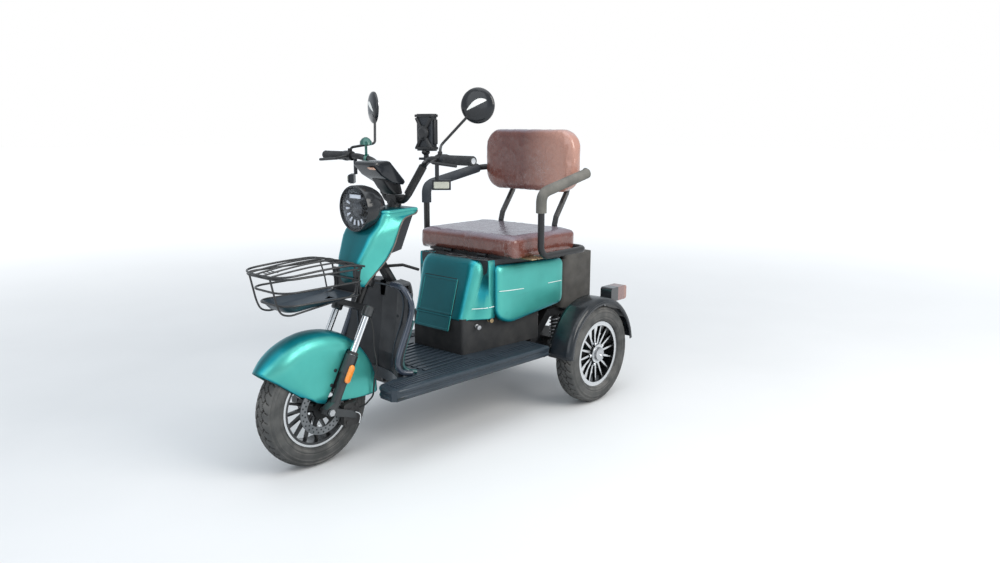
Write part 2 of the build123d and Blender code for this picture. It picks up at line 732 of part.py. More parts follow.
export_step(leg_shield.part, "parts/leg_shield.step")

# Front fairing: tapering shell with a ledge on top
fairing_wall = 3.0
bracket_wall = 5.0
bracket_height = 22.0
fairing_sections = (
    # z, front x, front half width, rear x, corner cut
    (592, 374, 40, 350, 8),
    (655, 396, 61, 337, 16),
    (725, 412, 77, 322, 22),
    (790, 404, 87, 302, 26),
    (848, 368, 92, 285, 26),
)
fairing_flare = 0.25
headlight_x = 395.0
headlight_z = 862.0
headlight_radius = 80.0
headlight_sides = 32
with BuildPart() as front_fairing:
    for inset, section_mode in ((0, Mode.ADD), (fairing_wall, Mode.SUBTRACT)):
        for section_z, front_x, front_half, section_rear_x, corner in fairing_sections:
            side_run = front_x - inset - corner - section_rear_x + 4 * inset
            front_plan = [
                (section_rear_x - 4 * inset, front_half - inset + fairing_flare * side_run),
                (front_x - inset - corner, front_half - inset),
                (front_x - inset - corner * 0.3, front_half - inset - corner * 0.3),
                (front_x - inset, front_half - inset - corner),
            ]
            with BuildSketch(Plane.XY.offset(section_z)):
                with BuildLine():
                    Polyline(*front_plan, *[(x, -y) for x, y in reversed(front_plan)], close=True)
                make_face()
        loft(ruled=True, mode=section_mode)
    with BuildSketch(Plane.XY.offset(head_tube_bottom_z)):
        with Locations((390, 0)):
            Rectangle(90, 2 * (head_tube_radius + bracket_wall + seat_gap))
    extrude(amount=bracket_height + 6, mode=Mode.SUBTRACT)
    with BuildSketch(Plane.XY.offset(848)) as ledge:
        with BuildLine():
            Polyline(
                (165, -72), (285, -108), (342, -92), (360, -84), (368, -66),
                (368, 66), (360, 84), (342, 92), (285, 108), (165, 72),
                close=True,
            )
        make_face()
        with Locations((steering_x(850), 0)):
            RegularPolygon(37, 16, mode=Mode.SUBTRACT)
    extrude(amount=6)
    with BuildSketch(Plane(origin=(262, 0, headlight_z), x_dir=(0, 1, 0), z_dir=(1, 0, 0))):
        RegularPolygon(headlight_radius + 2 * seat_gap, headlight_sides)
    extrude(amount=160, mode=Mode.SUBTRACT)
front_fairing.part.label = "front_fairing"
export_step(front_fairing.part, "parts/front_fairing.step")

# Fairing liner with the glove box behind the head tube
with BuildPart() as fairing_liner:
    with BuildSketch(Plane.XZ.offset(-72)):
        with BuildLine():
            Polyline((190, 847.7), (190, 826), (245, 712), (308, 700), (280, 847.7), close=True)
        make_face()
    extrude(amount=144)
    with BuildSketch(Plane.XZ.offset(-69)):
        with BuildLine():
            Polyline((193, 900), (193, 827), (247, 716), (330, 704), (330, 900), close=True)
        make_face()
    extrude(amount=138, mode=Mode.SUBTRACT)
    with BuildSketch(head_plane):
        RegularPolygon(head_tube_radius + seat_gap, 12)
    extrude(amount=head_run, mode=Mode.SUBTRACT)
    with BuildSketch(head_plane.offset(head_run - 1)):
        RegularPolygon(head_tube_radius + 6, 12)
    extrude(amount=80, mode=Mode.SUBTRACT)
fairing_liner.part.label = "fairing_liner"
export_step(fairing_liner.part, "parts/fairing_liner.step")

# Headlight housing: round can with a domed back and a recess for the lens
headlight_rows = (
    # distance behind the front, radius
    (114.0, headlight_radius - 60),
    (103.0, headlight_radius - 38),
    (86.0, headlight_radius - 18),
    (62.0, headlight_radius - 5),
    (36.0, headlight_radius),
    (0.0, headlight_radius),
)
recess_radius = headlight_radius - 5
recess_depth = 24.0
with BuildPart() as headlight_housing:
    for row_back, row_radius in headlight_rows:
        with BuildSketch(Plane(origin=(headlight_x - row_back, 0, headlight_z), x_dir=(0, 1, 0), z_dir=(1, 0, 0))):
            RegularPolygon(row_radius, headlight_sides)
    loft(ruled=True)
    with BuildSketch(Plane(origin=(headlight_x, 0, headlight_z), x_dir=(0, 1, 0), z_dir=(1, 0, 0))):
        RegularPolygon(recess_radius, headlight_sides)
    extrude(amount=-recess_depth, mode=Mode.SUBTRACT)
headlight_housing.part.label = "headlight_housing"
export_step(headlight_housing.part, "parts/headlight_housing.step")

with BuildPart() as headlight_lens:
    with BuildSketch(Plane(origin=(headlight_x - 10, 0, headlight_z), x_dir=(0, 1, 0), z_dir=(1, 0, 0))):
        RegularPolygon(recess_radius - seat_gap, headlight_sides)
    extrude(amount=5)
headlight_lens.part.label = "headlight_lens"
export_step(headlight_lens.part, "parts/headlight_lens.step")

# Wire basket: hoops joined by U-shaped wires, carried by a plate on the head tube bracket
wire_radius = 3.0
rim_z = 676.0
lid_z = rim_z + 2 * wire_radius + seat_gap
basket_loops = (
    # z, rear x, front x, half width
    (rim_z, 447, 770, 115),
    (629, 441, 754, 98),
    (584, 438, 743, 84),
)
hoop_corner = 22.0
eye_y = 48.0
with BuildPart() as basket:
    for loop_z, loop_rear, loop_front, loop_half in basket_loops:
        with BuildLine() as loop_line:
            Polyline(
                (loop_rear, 0, loop_z),
                (loop_rear, loop_half - hoop_corner, loop_z),
                (loop_rear + hoop_corner, loop_half, loop_z),
                (loop_front - hoop_corner, loop_half, loop_z),
                (loop_front, loop_half - hoop_corner, loop_z),
                (loop_front, -loop_half + hoop_corner, loop_z),
                (loop_front - hoop_corner, -loop_half, loop_z),
                (loop_rear + hoop_corner, -loop_half, loop_z),
                (loop_rear, -loop_half + hoop_corner, loop_z),
                close=True,
            )
        with BuildSketch(Plane(origin=loop_line.line @ 0, z_dir=loop_line.line % 0)):
            RegularPolygon(wire_radius, 4)
        sweep(transition=Transition.RIGHT)
    for wire_y in (-62, -21, 21, 62):
        with BuildLine() as wire_line:
            Polyline((446, wire_y, rim_z + 1), (440, wire_y, 590), (464, wire_y, 573), (722, wire_y, 546), (742, wire_y, 560), (771, wire_y, rim_z + 1))
        with BuildSketch(Plane(origin=wire_line.line @ 0, z_dir=wire_line.line % 0)):
            RegularPolygon(wire_radius - 0.5, 4)
        sweep(transition=Transition.RIGHT)
    for wire_x, floor_z in ((500, 569), (560, 563), (620, 557), (680, 550)):
        with BuildLine() as wire_line:
            Polyline((wire_x, -115, rim_z + 1), (wire_x, -82, floor_z + 16), (wire_x, -66, floor_z), (wire_x, 66, floor_z), (wire_x, 82, floor_z + 16), (wire_x, 115, rim_z + 1))
        with BuildSketch(Plane(origin=wire_line.line @ 0, z_dir=wire_line.line % 0)):
            RegularPolygon(wire_radius - 0.7, 4)
        sweep(transition=Transition.RIGHT)
    for side in (1, -1):
        with BuildSketch(Plane.XZ.offset(-side * eye_y - 5)):
            with Locations((447, (rim_z + lid_z + 6) / 2)):
                Rectangle(12, lid_z + 6 - rim_z)
            with Locations((447, lid_z)):
                Circle(wire_radius + running_fit, mode=Mode.SUBTRACT)
        extrude(amount=10)
basket.part.label = "basket"
export_step(basket.part, "parts/basket.step")

# Basket bracket between the down tube and the basket
with BuildPart() as basket_bracket:
    with BuildSketch(Plane.XY.offset(head_tube_bottom_z + 4)):
        with BuildLine():
            Polyline((435, -70), (435, 70), (425, 70), (404, 26), (360, 26), (360, -26), (404, -26), (425, -70), close=True)
        make_face()
    extrude(amount=8)
    with BuildSketch(Plane.YZ.offset(431)):
        with Locations((0, 618)):
            Rectangle(140, 80)
    extrude(amount=4)
    with BuildSketch(Plane(origin=(steering_x(head_tube_bottom_z), 0, head_tube_bottom_z), z_dir=steering_up)):
        RegularPolygon(head_tube_radius + bracket_wall, 12)
    extrude(amount=bracket_height)
    with BuildSketch(head_plane):
        Circle(head_tube_radius + running_fit)
    extrude(amount=head_run, mode=Mode.SUBTRACT)
    with BuildSketch(head_plane):
        Circle(head_tube_radius + running_fit)
    extrude(amount=-30, mode=Mode.SUBTRACT)
basket_bracket.part.label = "basket_bracket"
export_step(basket_bracket.part, "parts/basket_bracket.step")

# Basket lid: rim and bars, hinged on its rear rod
with BuildPart() as basket_lid:
    with BuildSketch(Plane.XY.offset(lid_z - wire_radius)):
        with BuildLine():
            Polyline((447, 121), (752, 121), (776, 97), (776, -97), (752, -121), (447, -121), close=True)
        make_face()
        with BuildLine():
            Polyline((440, 115), (749, 115), (770, 94), (770, -94), (749, -115), (440, -115), close=True)
        make_face(mode=Mode.SUBTRACT)
    extrude(amount=2 * wire_radius)
    with BuildSketch(Plane(origin=(447, -119, lid_z), z_dir=(0, 1, 0))):
        Circle(wire_radius)
    extrude(amount=238)
    for bar_y in (-80, -27, 27, 80):
        with BuildSketch(Plane(origin=(447, bar_y, lid_z), z_dir=(1, 0, 0))):
            RegularPolygon(wire_radius - 0.6, 6)
        extrude(amount=325)
basket_lid.part.label = "basket_lid"
export_step(basket_lid.part, "parts/basket_lid.step")

# Storage door sizes, on the leaning front of the seat shell
door_lean = degrees(atan2(52, shell_top_z - 40 - tub_top_z))
door_width = 188.0
door_height = 142.0
door_y = -16.0
door_clearance = 0.4
door_hinge_x = 8.0
door_hinge_z = tub_top_z + 8.0
door_plane = Plane(
    origin=(2.7, door_y, tub_top_z + 6), x_dir=(0, 1, 0), z_dir=(cos(radians(door_lean)), 0, sin(radians(door_lean)))
)

# Battery tub on the floor: hollow, wider towards the rear
tub_front_x = 6.0
tub_rear_x = -404.0
tub_front_half = 138.0
box_half = 186.0
tub_rear_half = box_half - 0.5
tub_wall = 4.0
with BuildPart() as battery_tub:
    for inset, base_z, tub_mode in ((0, floor_top_z + seat_gap, Mode.ADD), (tub_wall, floor_top_z + seat_gap + tub_wall, Mode.SUBTRACT)):
        with BuildSketch(Plane.XY.offset(base_z)) as tub_plan:
            with BuildLine():
                Polyline(
                    (tub_front_x - inset, -tub_front_half + inset),
                    (tub_rear_x + inset, -tub_rear_half + inset),
                    (tub_rear_x + inset, tub_rear_half - inset),
                    (tub_front_x - inset, tub_front_half - inset),
                    close=True,
                )
            make_face()
            fillet(tub_plan.vertices(), radius=14 - inset)
        extrude(amount=tub_top_z - base_z + inset, mode=tub_mode)
battery_tub.part.label = "battery_tub"
export_step(battery_tub.part, "parts/battery_tub.step")

# Battery block
with BuildPart() as battery:
    with BuildSketch(Plane.XY.offset(floor_top_z + tub_wall + 2 * seat_gap)):
        with Locations((-190, 0)):
            Rectangle(330, 190)
    extrude(amount=165)
battery.part.label = "battery"
export_step(battery.part, "parts/battery.step")

# Seat shell: painted front of the seat base, rounded corners
shell_wall = 4.0
shell_rear_x = -88.0
shell_sections = (
    # z, front x, front half width, corner cut
    (tub_top_z + seat_gap, 4, 136, 14),
    (shell_top_z - 40, -48, 160, 18),
    (shell_top_z, -64, 152, 20),
)
shell_flare = 0.2
with BuildPart() as seat_shell:
    for inset, shell_mode in ((0, Mode.ADD), (shell_wall, Mode.SUBTRACT)):
        for section_z, front_x, front_half, corner in shell_sections:
            level = section_z - inset if section_z == shell_top_z else section_z
            side_run = front_x + inset - corner - shell_rear_x
            side_plan = [
                (shell_rear_x - 2 * inset, front_half - inset + shell_flare * side_run),
                (front_x - inset - corner, front_half - inset),
                (front_x - inset - corner * 0.3, front_half - inset - corner * 0.3),
                (front_x - inset, front_half - inset - corner),
            ]
            with BuildSketch(Plane.XY.offset(level)):
                with BuildLine():
                    Polyline(*side_plan, *[(x, -y) for x, y in reversed(side_plan)], close=True)
                make_face()
        loft(ruled=True, mode=shell_mode)
    for lug_y in (door_y - door_width / 2 - door_clearance, door_y + door_width / 2 + door_clearance + 5):
        with BuildSketch(Plane.XZ.offset(-lug_y)):
            with BuildLine():
                Polyline(
                    (-4, door_hinge_z - 6), (door_hinge_x + 4, door_hinge_z - 4), (door_hinge_x + 4, door_hinge_z + 4), (-6, door_hinge_z + 8),
                    close=True,
                )
            make_face()
        extrude(amount=5)
    with BuildSketch(Plane.XZ.offset(-(door_y + door_width / 2 + 4))):
        with Locations((door_hinge_x, door_hinge_z)):
            Circle(1.5)
    extrude(amount=10)
    with BuildSketch(Plane.XZ.offset(-(door_y - door_width / 2 + 6))):
        with Locations((door_hinge_x, door_hinge_z)):
            Circle(1.5)
    extrude(amount=10)
seat_shell.part.label = "seat_shell"
export_step(seat_shell.part, "parts/seat_shell.step")

# Storage door on the seat base front, turning on two pins at its lower edge
with BuildPart() as storage_door:
    with BuildSketch(door_plane):
        with Locations((0, door_height / 2)):
            RectangleRounded(door_width, door_height, 12)
    extrude(amount=4)
    with BuildSketch(Plane.XZ.offset(-(door_y + door_width / 2))):
        with Locations((door_hinge_x, door_hinge_z)):
            Circle(3.6)
    extrude(amount=door_width)
    with BuildSketch(Plane.XZ.offset(-(door_y + door_width / 2))):
        with Locations((door_hinge_x, door_hinge_z)):
            Circle(1.5 + running_fit)
    extrude(amount=door_width, mode=Mode.SUBTRACT)
storage_door.part.label = "storage_door"
export_step(storage_door.part, "parts/storage_door.step")

# Seat box behind the shell: open storage under the seat, hinge ears at its front
box_front_x = shell_rear_x - 1
box_rear_x = -530.0
box_opening_front_x = -160.0
seat_hinge_x = -150.0
seat_hinge_z = shell_top_z + 8.0
seat_pin_radius = 3.0
seat_barrel_radius = 6.0
with BuildPart() as seat_box:
    with BuildSketch(Plane.XY.offset(tub_top_z + seat_gap)):
        with Locations(((box_front_x + box_rear_x) / 2, 0)):
            Rectangle(box_front_x - box_rear_x, 2 * box_half)
    extrude(amount=shell_top_z - tub_top_z - seat_gap)
    with BuildSketch(Plane.XY.offset(tub_top_z + 50)):
        with Locations(((box_opening_front_x + box_rear_x + shell_wall) / 2, 0)):
            Rectangle(box_opening_front_x - box_rear_x - shell_wall, 2 * (box_half - shell_wall))
    extrude(amount=shell_top_z - tub_top_z, mode=Mode.SUBTRACT)
    with BuildSketch(Plane.XY.offset(tub_top_z)):
        with Locations((-190, 0)):
            Rectangle(336, 196)
    extrude(amount=36, mode=Mode.SUBTRACT)
    for ear_y in (72, 112, -78, -118):
        with BuildSketch(Plane.XZ.offset(-ear_y - 6)):
            with Locations((seat_hinge_x, seat_hinge_z)):
                RegularPolygon(seat_barrel_radius + 0.3, 12)
            with Locations((seat_hinge_x, (shell_top_z - 4 + seat_hinge_z) / 2)):
                Rectangle(2 * seat_barrel_radius, seat_hinge_z - shell_top_z + 4)
        extrude(amount=6)
    for side in (1, -1):
        with BuildSketch(Plane.XZ.offset(-side * 95 - 19)):
            with Locations((seat_hinge_x, seat_hinge_z)):
                Circle(seat_pin_radius)
        extrude(amount=38)
seat_box.part.label = "seat_box"
export_step(seat_box.part, "parts/seat_box.step")

# Side panels: bulging covers with soft edges
panel_depth = 28.0
with BuildPart() as side_panels:
    for side in (1, -1):
        with BuildSketch(Plane.XZ.offset(-side * (box_half + seat_gap))) as panel_face:
            with BuildLine():
                Polyline((-116, 600), (-534, 600), (-534, 412), (-180, 378), (-116, 420), close=True)
            make_face()
            fillet(panel_face.vertices().group_by(Axis.X)[-1], radius=34)
            fillet(panel_face.vertices().group_by(Axis.X)[0], radius=24)
        extrude(amount=-side * panel_depth)
        chamfer(side_panels.faces().sort_by(Axis.Y)[-1 if side > 0 else 0].edges(), length=panel_depth * 0.7, length2=panel_depth * 0.45)
side_panels.part.label = "side_panels"
export_step(side_panels.part, "parts/side_panels.step")

# Seat: pan and cushion
seat_front_x = -141.0
seat_rear_x = -518.0
with BuildPart() as seat_pan:
    with BuildSketch(Plane.XY.offset(shell_top_z + seat_gap)):
        with Locations(((seat_front_x + seat_rear_x) / 2, 0)):
            RectangleRounded(seat_front_x - seat_rear_x - 32, 2 * seat_half_width - 40, 40)
    extrude(amount=seat_bottom_z - shell_top_z - 2 * seat_gap)
    for side in (1, -1):
        with BuildSketch(Plane.XZ.offset(-side * 95 - 16.7)):
            with Locations((seat_hinge_x, seat_hinge_z)):
                Circle(seat_barrel_radius)
            with Locations((seat_hinge_x - 6, seat_hinge_z)):
                Rectangle(12, 2 * seat_barrel_radius - 2)
        extrude(amount=33.4)
        with BuildSketch(Plane.XZ.offset(-side * 95 - 16.7)):
            with Locations((seat_hinge_x, seat_hinge_z)):
                Circle(seat_pin_radius + running_fit)
        extrude(amount=33.4, mode=Mode.SUBTRACT)
seat_pan.part.label = "seat_pan"
export_step(seat_pan.part, "parts/seat_pan.step")

with BuildPart() as seat_cushion:
    with BuildSketch(Plane.XY.offset(seat_bottom_z)):
        with Locations(((seat_front_x + seat_rear_x) / 2, 0)):
            RectangleRounded(seat_front_x - seat_rear_x, 2 * seat_half_width, 50)
    extrude(amount=seat_top_z - seat_bottom_z)
    chamfer(seat_cushion.edges().group_by(Axis.Z)[-1], length=14)
seat_cushion.part.label = "seat_cushion"
export_step(seat_cushion.part, "parts/seat_cushion.step")

# Armrest frame
arm_y = 315.0
arm_radius = 13.0
arm_path = (
    # x, y, z
    (-540, 0, 652), (-540, 288, 652), (-513, arm_y, 652), (-268, arm_y, 652), (-243, arm_y, 677),
    (-243, arm_y, 868), (-251, arm_y, 888), (-272, 314, 900), (-560, 302, 958), (-596, 262, 962),
)
sleeve_start_z = 820.0
sleeve_radius = 20.5
with BuildPart() as armrest_frame:
    for side in (1, -1):
        with BuildLine() as arm_line:
            Polyline(*[(x, side * y, z) for x, y, z in arm_path])
        with BuildSketch(Plane(origin=arm_line.line @ 0, z_dir=arm_line.line % 0)):
            RegularPolygon(arm_radius, 8)
        sweep(transition=Transition.RIGHT)
        with BuildSketch(Plane.XY.offset(560)):
            with Locations((box_rear_x - seat_gap - 2, side * 150)):
                Rectangle(4, 44)
        extrude(amount=90)
armrest_frame.part.label = "armrest_frame"
export_step(armrest_frame.part, "parts/armrest_frame.step")

# Foam sleeves on the armrests
with BuildPart() as armrest_pads:
    for side in (1, -1):
        sleeve_last = Vector(arm_path[8][0], side * arm_path[8][1], arm_path[8][2])
        sleeve_before = Vector(arm_path[7][0], side * arm_path[7][1], arm_path[7][2])
        sleeve_end = sleeve_last - (sleeve_last - sleeve_before).normalized() * 12
        with BuildLine() as sleeve_line:
            Polyline((-243, side * arm_y, sleeve_start_z), *[(x, side * y, z) for x, y, z in arm_path[5:8]], sleeve_end)
        with BuildSketch(Plane(origin=sleeve_line.line @ 0, z_dir=sleeve_line.line % 0)):
            RegularPolygon(sleeve_radius, 10)
            RegularPolygon(arm_radius + 3 * seat_gap, 10, mode=Mode.SUBTRACT)
        sweep(transition=Transition.RIGHT)
armrest_pads.part.label = "armrest_pads"
export_step(armrest_pads.part, "parts/armrest_pads.step")

# Backrest
back_half = 245.0
with BuildPart() as backrest_pad:
    with BuildSketch(Plane(origin=(-545, 0, 1010), x_dir=(0, 1, 0), z_dir=(-1, 0, 0))):
        RectangleRounded(2 * back_half, 230, 50)
    extrude(amount=62)
    chamfer(backrest_pad.edges().group_by(Axis.X)[-1], length=12)
backrest_pad.part.label = "backrest_pad"
export_step(backrest_pad.part, "parts/backrest_pad.step")

with BuildPart() as backrest_frame:
    with BuildSketch(Plane(origin=(-607.3, 0, 1000), x_dir=(0, 1, 0), z_dir=(-1, 0, 0))):
        RectangleRounded(2 * back_half - 60, 150, 20)
    extrude(amount=10)
    for side in (1, -1):
        with BuildLine() as post_line:
            Polyline(
                (-540, side * 150, 665.3), (-540, side * 150, 735), (-550, side * 150, 768),
                (-618, side * 150, 862), (-630, side * 150, 895), (-630, side * 150, 1040),
            )
        with BuildSketch(Plane(origin=post_line.line @ 0, z_dir=post_line.line % 0)):
            RegularPolygon(12, 8)
        sweep(transition=Transition.RIGHT)
backrest_frame.part.label = "backrest_frame"
export_step(backrest_frame.part, "parts/backrest_frame.step")

# Rear box with lid
rear_box_front = -545.0
rear_box_rear = -757.0
rear_box_half = 195.0
rear_box_top = 592.0
lid_hinge_x = rear_box_rear - 5.5
lid_hinge_z = rear_box_top + 3.0
lid_ear_radius = 5.0
with BuildPart() as rear_box:
    with BuildSketch(Plane.XY.offset(rear_rail_z + rail_radius + seat_gap)):
        with Locations(((rear_box_front + rear_box_rear) / 2, 0)):
            RectangleRounded(rear_box_front - rear_box_rear, 2 * rear_box_half, 16)
    extrude(amount=rear_box_top - rear_rail_z - rail_radius - seat_gap)
    with BuildSketch(Plane.XY.offset(rear_rail_z + rail_radius + seat_gap + 4)):
        with Locations(((rear_box_front + rear_box_rear) / 2, 0)):
            RectangleRounded(rear_box_front - rear_box_rear - 8, 2 * rear_box_half - 8, 12)
    extrude(amount=rear_box_top, mode=Mode.SUBTRACT)
    for side in (1, -1):
        for ear_y in (side * 130 + 10.3, side * 130 - 15.3):
            with BuildSketch(Plane.XZ.offset(-ear_y - 5)):
                with BuildLine():
                    Polyline(
                        (rear_box_rear + 2, rear_box_top - 24), (rear_box_rear + 2, rear_box_top - 4),
                        (lid_hinge_x, lid_hinge_z - lid_ear_radius + 1), (lid_hinge_x - lid_ear_radius + 0.4, lid_hinge_z),
                        close=True,
                    )
                make_face()
                with Locations((lid_hinge_x, lid_hinge_z)):
                    RegularPolygon(lid_ear_radius, 12)
            extrude(amount=5)
        with BuildSketch(Plane.XZ.offset(-side * 130 - 13)):
            with Locations((lid_hinge_x, lid_hinge_z)):
                Circle(2.5)
        extrude(amount=26)
rear_box.part.label = "rear_box"
export_step(rear_box.part, "parts/rear_box.step")

with BuildPart() as rear_box_lid:
    with BuildSketch(Plane.XY.offset(rear_box_top + seat_gap)):
        with Locations(((rear_box_front + rear_box_rear) / 2 - 7, 0)):
            RectangleRounded(rear_box_front - rear_box_rear - 14, 2 * rear_box_half, 16)
    extrude(amount=14)
    for side in (1, -1):
        with BuildSketch(Plane.XZ.offset(-side * 130 - 10)):
            with Locations((lid_hinge_x, lid_hinge_z + 1)):
                Rectangle(12, 7)
            with Locations((lid_hinge_x, lid_hinge_z)):
                Circle(5)
        extrude(amount=20)
        with BuildSketch(Plane.XZ.offset(-side * 130 - 10)):
            with Locations((lid_hinge_x, lid_hinge_z)):
                Circle(2.5 + running_fit)
        extrude(amount=20, mode=Mode.SUBTRACT)
rear_box_lid.part.label = "rear_box_lid"
export_step(rear_box_lid.part, "parts/rear_box_lid.step")

# Rear mudguards
guard_gap = 32.0
guard_radius = tyre_radius + guard_gap
guard_wall = 3.0
guard_turns = [radians(6 + 166 * k / 14) for k in range(15)]
with BuildPart() as rear_mudguards:
    for side in (1, -1):
        with BuildLine() as guard_line:
            Polyline(*[(rear_axle_x + guard_radius * cos(turn), 0, tyre_radius + guard_radius * sin(turn)) for turn in guard_turns])
        with BuildSketch(Plane(origin=guard_line.line @ 0, x_dir=(0, 1, 0), z_dir=guard_line.line % 0)):
            with BuildLine():
                Polyline(
                    (side * 286, 0), (side * 374, 0), (side * 386, 10), (side * 386, 24),
                    (side * 383, 24), (side * 383, 11), (side * 373, guard_wall), (side * 286, guard_wall),
                    close=True,
                )
            make_face()
        sweep(transition=Transition.RIGHT)
        with BuildSketch(Plane(origin=(-595, 0, 0), x_dir=(0, 1, 0), z_dir=(1, 0, 0))):
            with BuildLine():
                Polyline(
                    (side * 290, tyre_radius + guard_radius - 3),
                    (side * 222, rear_rail_z),
                    (side * (rear_rail_y + rail_radius + seat_gap), rear_rail_z - 2),
                    (side * (rear_rail_y + rail_radius + seat_gap), rear_rail_z + 3),
                    (side * 218, rear_rail_z + 5),
                    (side * 290, tyre_radius + guard_radius + 1),
                    close=True,
                )
            make_face()
        extrude(amount=30)
rear_mudguards.part.label = "rear_mudguards"
export_step(rear_mudguards.part, "parts/rear_mudguards.step")

# Tail lamps on the mudguards
with BuildPart() as tail_lamps:
    for side in (1, -1):
        with BuildSketch(Plane.XZ.offset(-(side * 320 + 28))):
            with Locations((rear_axle_x - 170, tyre_radius + guard_radius - 8)):
                RectangleRounded(116, 60, 12)
        extrude(amount=56)
        with BuildSketch(Plane.XZ.offset(-420)):
            with Locations((rear_axle_x, tyre_radius)):
                RegularPolygon(guard_radius + seat_gap, 48)
        extrude(amount=840, mode=Mode.SUBTRACT)
tail_lamps.part.label = "tail_lamps"
export_step(tail_lamps.part, "parts/tail_lamps.step")

# Rear axle with motor block and stub shafts
with BuildPart() as rear_axle:
    with BuildSketch(Plane(origin=(rear_axle_x, -290, tyre_radius), z_dir=(0, 1, 0))):
        RegularPolygon(26, 12)
    extrude(amount=580)
    with BuildSketch(Plane(origin=(rear_axle_x, -80, tyre_radius), z_dir=(0, 1, 0))):
        RegularPolygon(72, 20)
    extrude(amount=160)
    with BuildSketch(Plane(origin=(rear_axle_x, -half_track - 32, tyre_radius), z_dir=(0, 1, 0))):
        Circle(rear_axle_radius)
    extrude(amount=2 * half_track + 64)
    for side in (1, -1):
        with BuildSketch(Plane.XY.offset(tyre_radius + 10)):
            with Locations((rear_axle_x, side * rear_rail_y)):
                Rectangle(92, 40)
        extrude(amount=17 - seat_gap)
        with BuildSketch(Plane(origin=(rear_axle_x, side * 268, tyre_radius), z_dir=(0, side, 0))):
            RegularPolygon(58, 20)
        extrude(amount=26)
        with BuildSketch(Plane(origin=(rear_axle_x, side * (half_track + 31), tyre_radius), z_dir=(0, side, 0))):
            RegularPolygon(22, 8)
        extrude(amount=6)
rear_axle.part.label = "rear_axle"
export_step(rear_axle.part, "parts/rear_axle.step")

# Shock absorbers between axle and frame
with BuildPart() as shock_absorbers:
    for side in (1, -1):
        for shock_x in (-600, -550):
            with BuildSketch(Plane.XY.offset(tyre_radius + 27)):
                with Locations((shock_x, side * rear_rail_y)):
                    RegularPolygon(16, 10)
            extrude(amount=rear_rail_z - rail_radius - seat_gap - tyre_radius - 27)
shock_absorbers.part.label = "shock_absorbers"
export_step(shock_absorbers.part, "parts/shock_absorbers.step")

# Brake hose from the fork crown down behind the left leg to the caliper
hose_points = (
    # x, y, z
    (395, 66, crown_z - 3.4),
    (383, 72, 448),
    (386, 76, 379),
    (375, 79, 322),
    (390, 79, 262),
    (392, 73, 205),
    (420, 64, 178),
    (caliper_x - 33 - 3 * seat_gap, 62, 172),
)
with BuildPart() as brake_hose:
    with BuildLine() as hose_line:
        FilletPolyline(*hose_points, radius=[120, 120, 90, 90, 30, 25])
    with BuildSketch(Plane(origin=hose_line.line @ 0, z_dir=hose_line.line % 0)):
        Circle(3)
    sweep()
brake_hose.part.label = "brake_hose"
export_step(brake_hose.part, "parts/brake_hose.step")
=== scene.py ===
"""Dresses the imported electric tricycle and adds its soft, thin and finely shaped pieces."""

import logging
import math
from collections.abc import Iterable, Sequence
from dataclasses import dataclass, field
from enum import Enum

import bmesh
import bpy
from mathutils import Matrix, Vector, noise


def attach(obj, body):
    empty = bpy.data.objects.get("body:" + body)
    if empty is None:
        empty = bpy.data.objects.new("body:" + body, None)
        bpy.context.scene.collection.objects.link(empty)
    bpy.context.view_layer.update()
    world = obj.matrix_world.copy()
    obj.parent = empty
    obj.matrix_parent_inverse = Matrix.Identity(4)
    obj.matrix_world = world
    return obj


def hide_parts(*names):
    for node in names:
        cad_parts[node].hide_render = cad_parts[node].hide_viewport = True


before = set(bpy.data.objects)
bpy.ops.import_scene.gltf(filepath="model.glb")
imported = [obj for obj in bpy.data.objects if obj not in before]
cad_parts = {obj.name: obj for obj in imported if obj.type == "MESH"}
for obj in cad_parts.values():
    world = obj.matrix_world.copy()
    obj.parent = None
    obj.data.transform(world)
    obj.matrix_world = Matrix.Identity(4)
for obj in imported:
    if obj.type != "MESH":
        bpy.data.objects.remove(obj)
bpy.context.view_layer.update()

MM = 0.001
Point = tuple[float, float, float]
Piece = bpy.types.Object
Socket = bpy.types.NodeSocket
log = logging.getLogger("tricycle")

RAKE = math.radians(27.7)  # how far the fork leans back
STEER_X, AXLE_Z = 556, 206  # the steering axis at the height of the axles
BAR_X, BAR_Z = 214, 1031  # middle line of the grips


class Side(Enum):
    """Left and right of the rider, as the sign of Y."""

    LEFT = 1
    RIGHT = -1

    @property
    def tag(self) -> str:
        """Short ending for a piece name."""
        return "left" if self is Side.LEFT else "right"

    def put(self, points: Iterable[Point]) -> list[Point]:
        """Moves points of the left side to this side."""
        return [(x, self.value * y, z) for x, y, z in points]

    def turned(self, profile: Iterable[tuple[float, float]], start: float = 0.0) -> list[tuple[float, float]]:
        """Points a turned profile's axis to this side."""
        return [((start + a) * self.value, r) for a, r in profile]

    def once(self, *nodes: str) -> tuple[str, ...]:
        """Names the CAD nodes that hold both sides on the left piece only."""
        return nodes if self is Side.LEFT else ()


class Body(Enum):
    """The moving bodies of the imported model."""

    CHASSIS = "chassis"
    FORK = "fork"
    FRONT_WHEEL = "front_wheel"
    REAR_LEFT = "rear_wheel_left"
    REAR_RIGHT = "rear_wheel_right"
    BASKET_LID = "basket_lid"
    SEAT = "seat"
    STORAGE_DOOR = "storage_door"
    REAR_BOX_LID = "rear_box_lid"


# Finishes


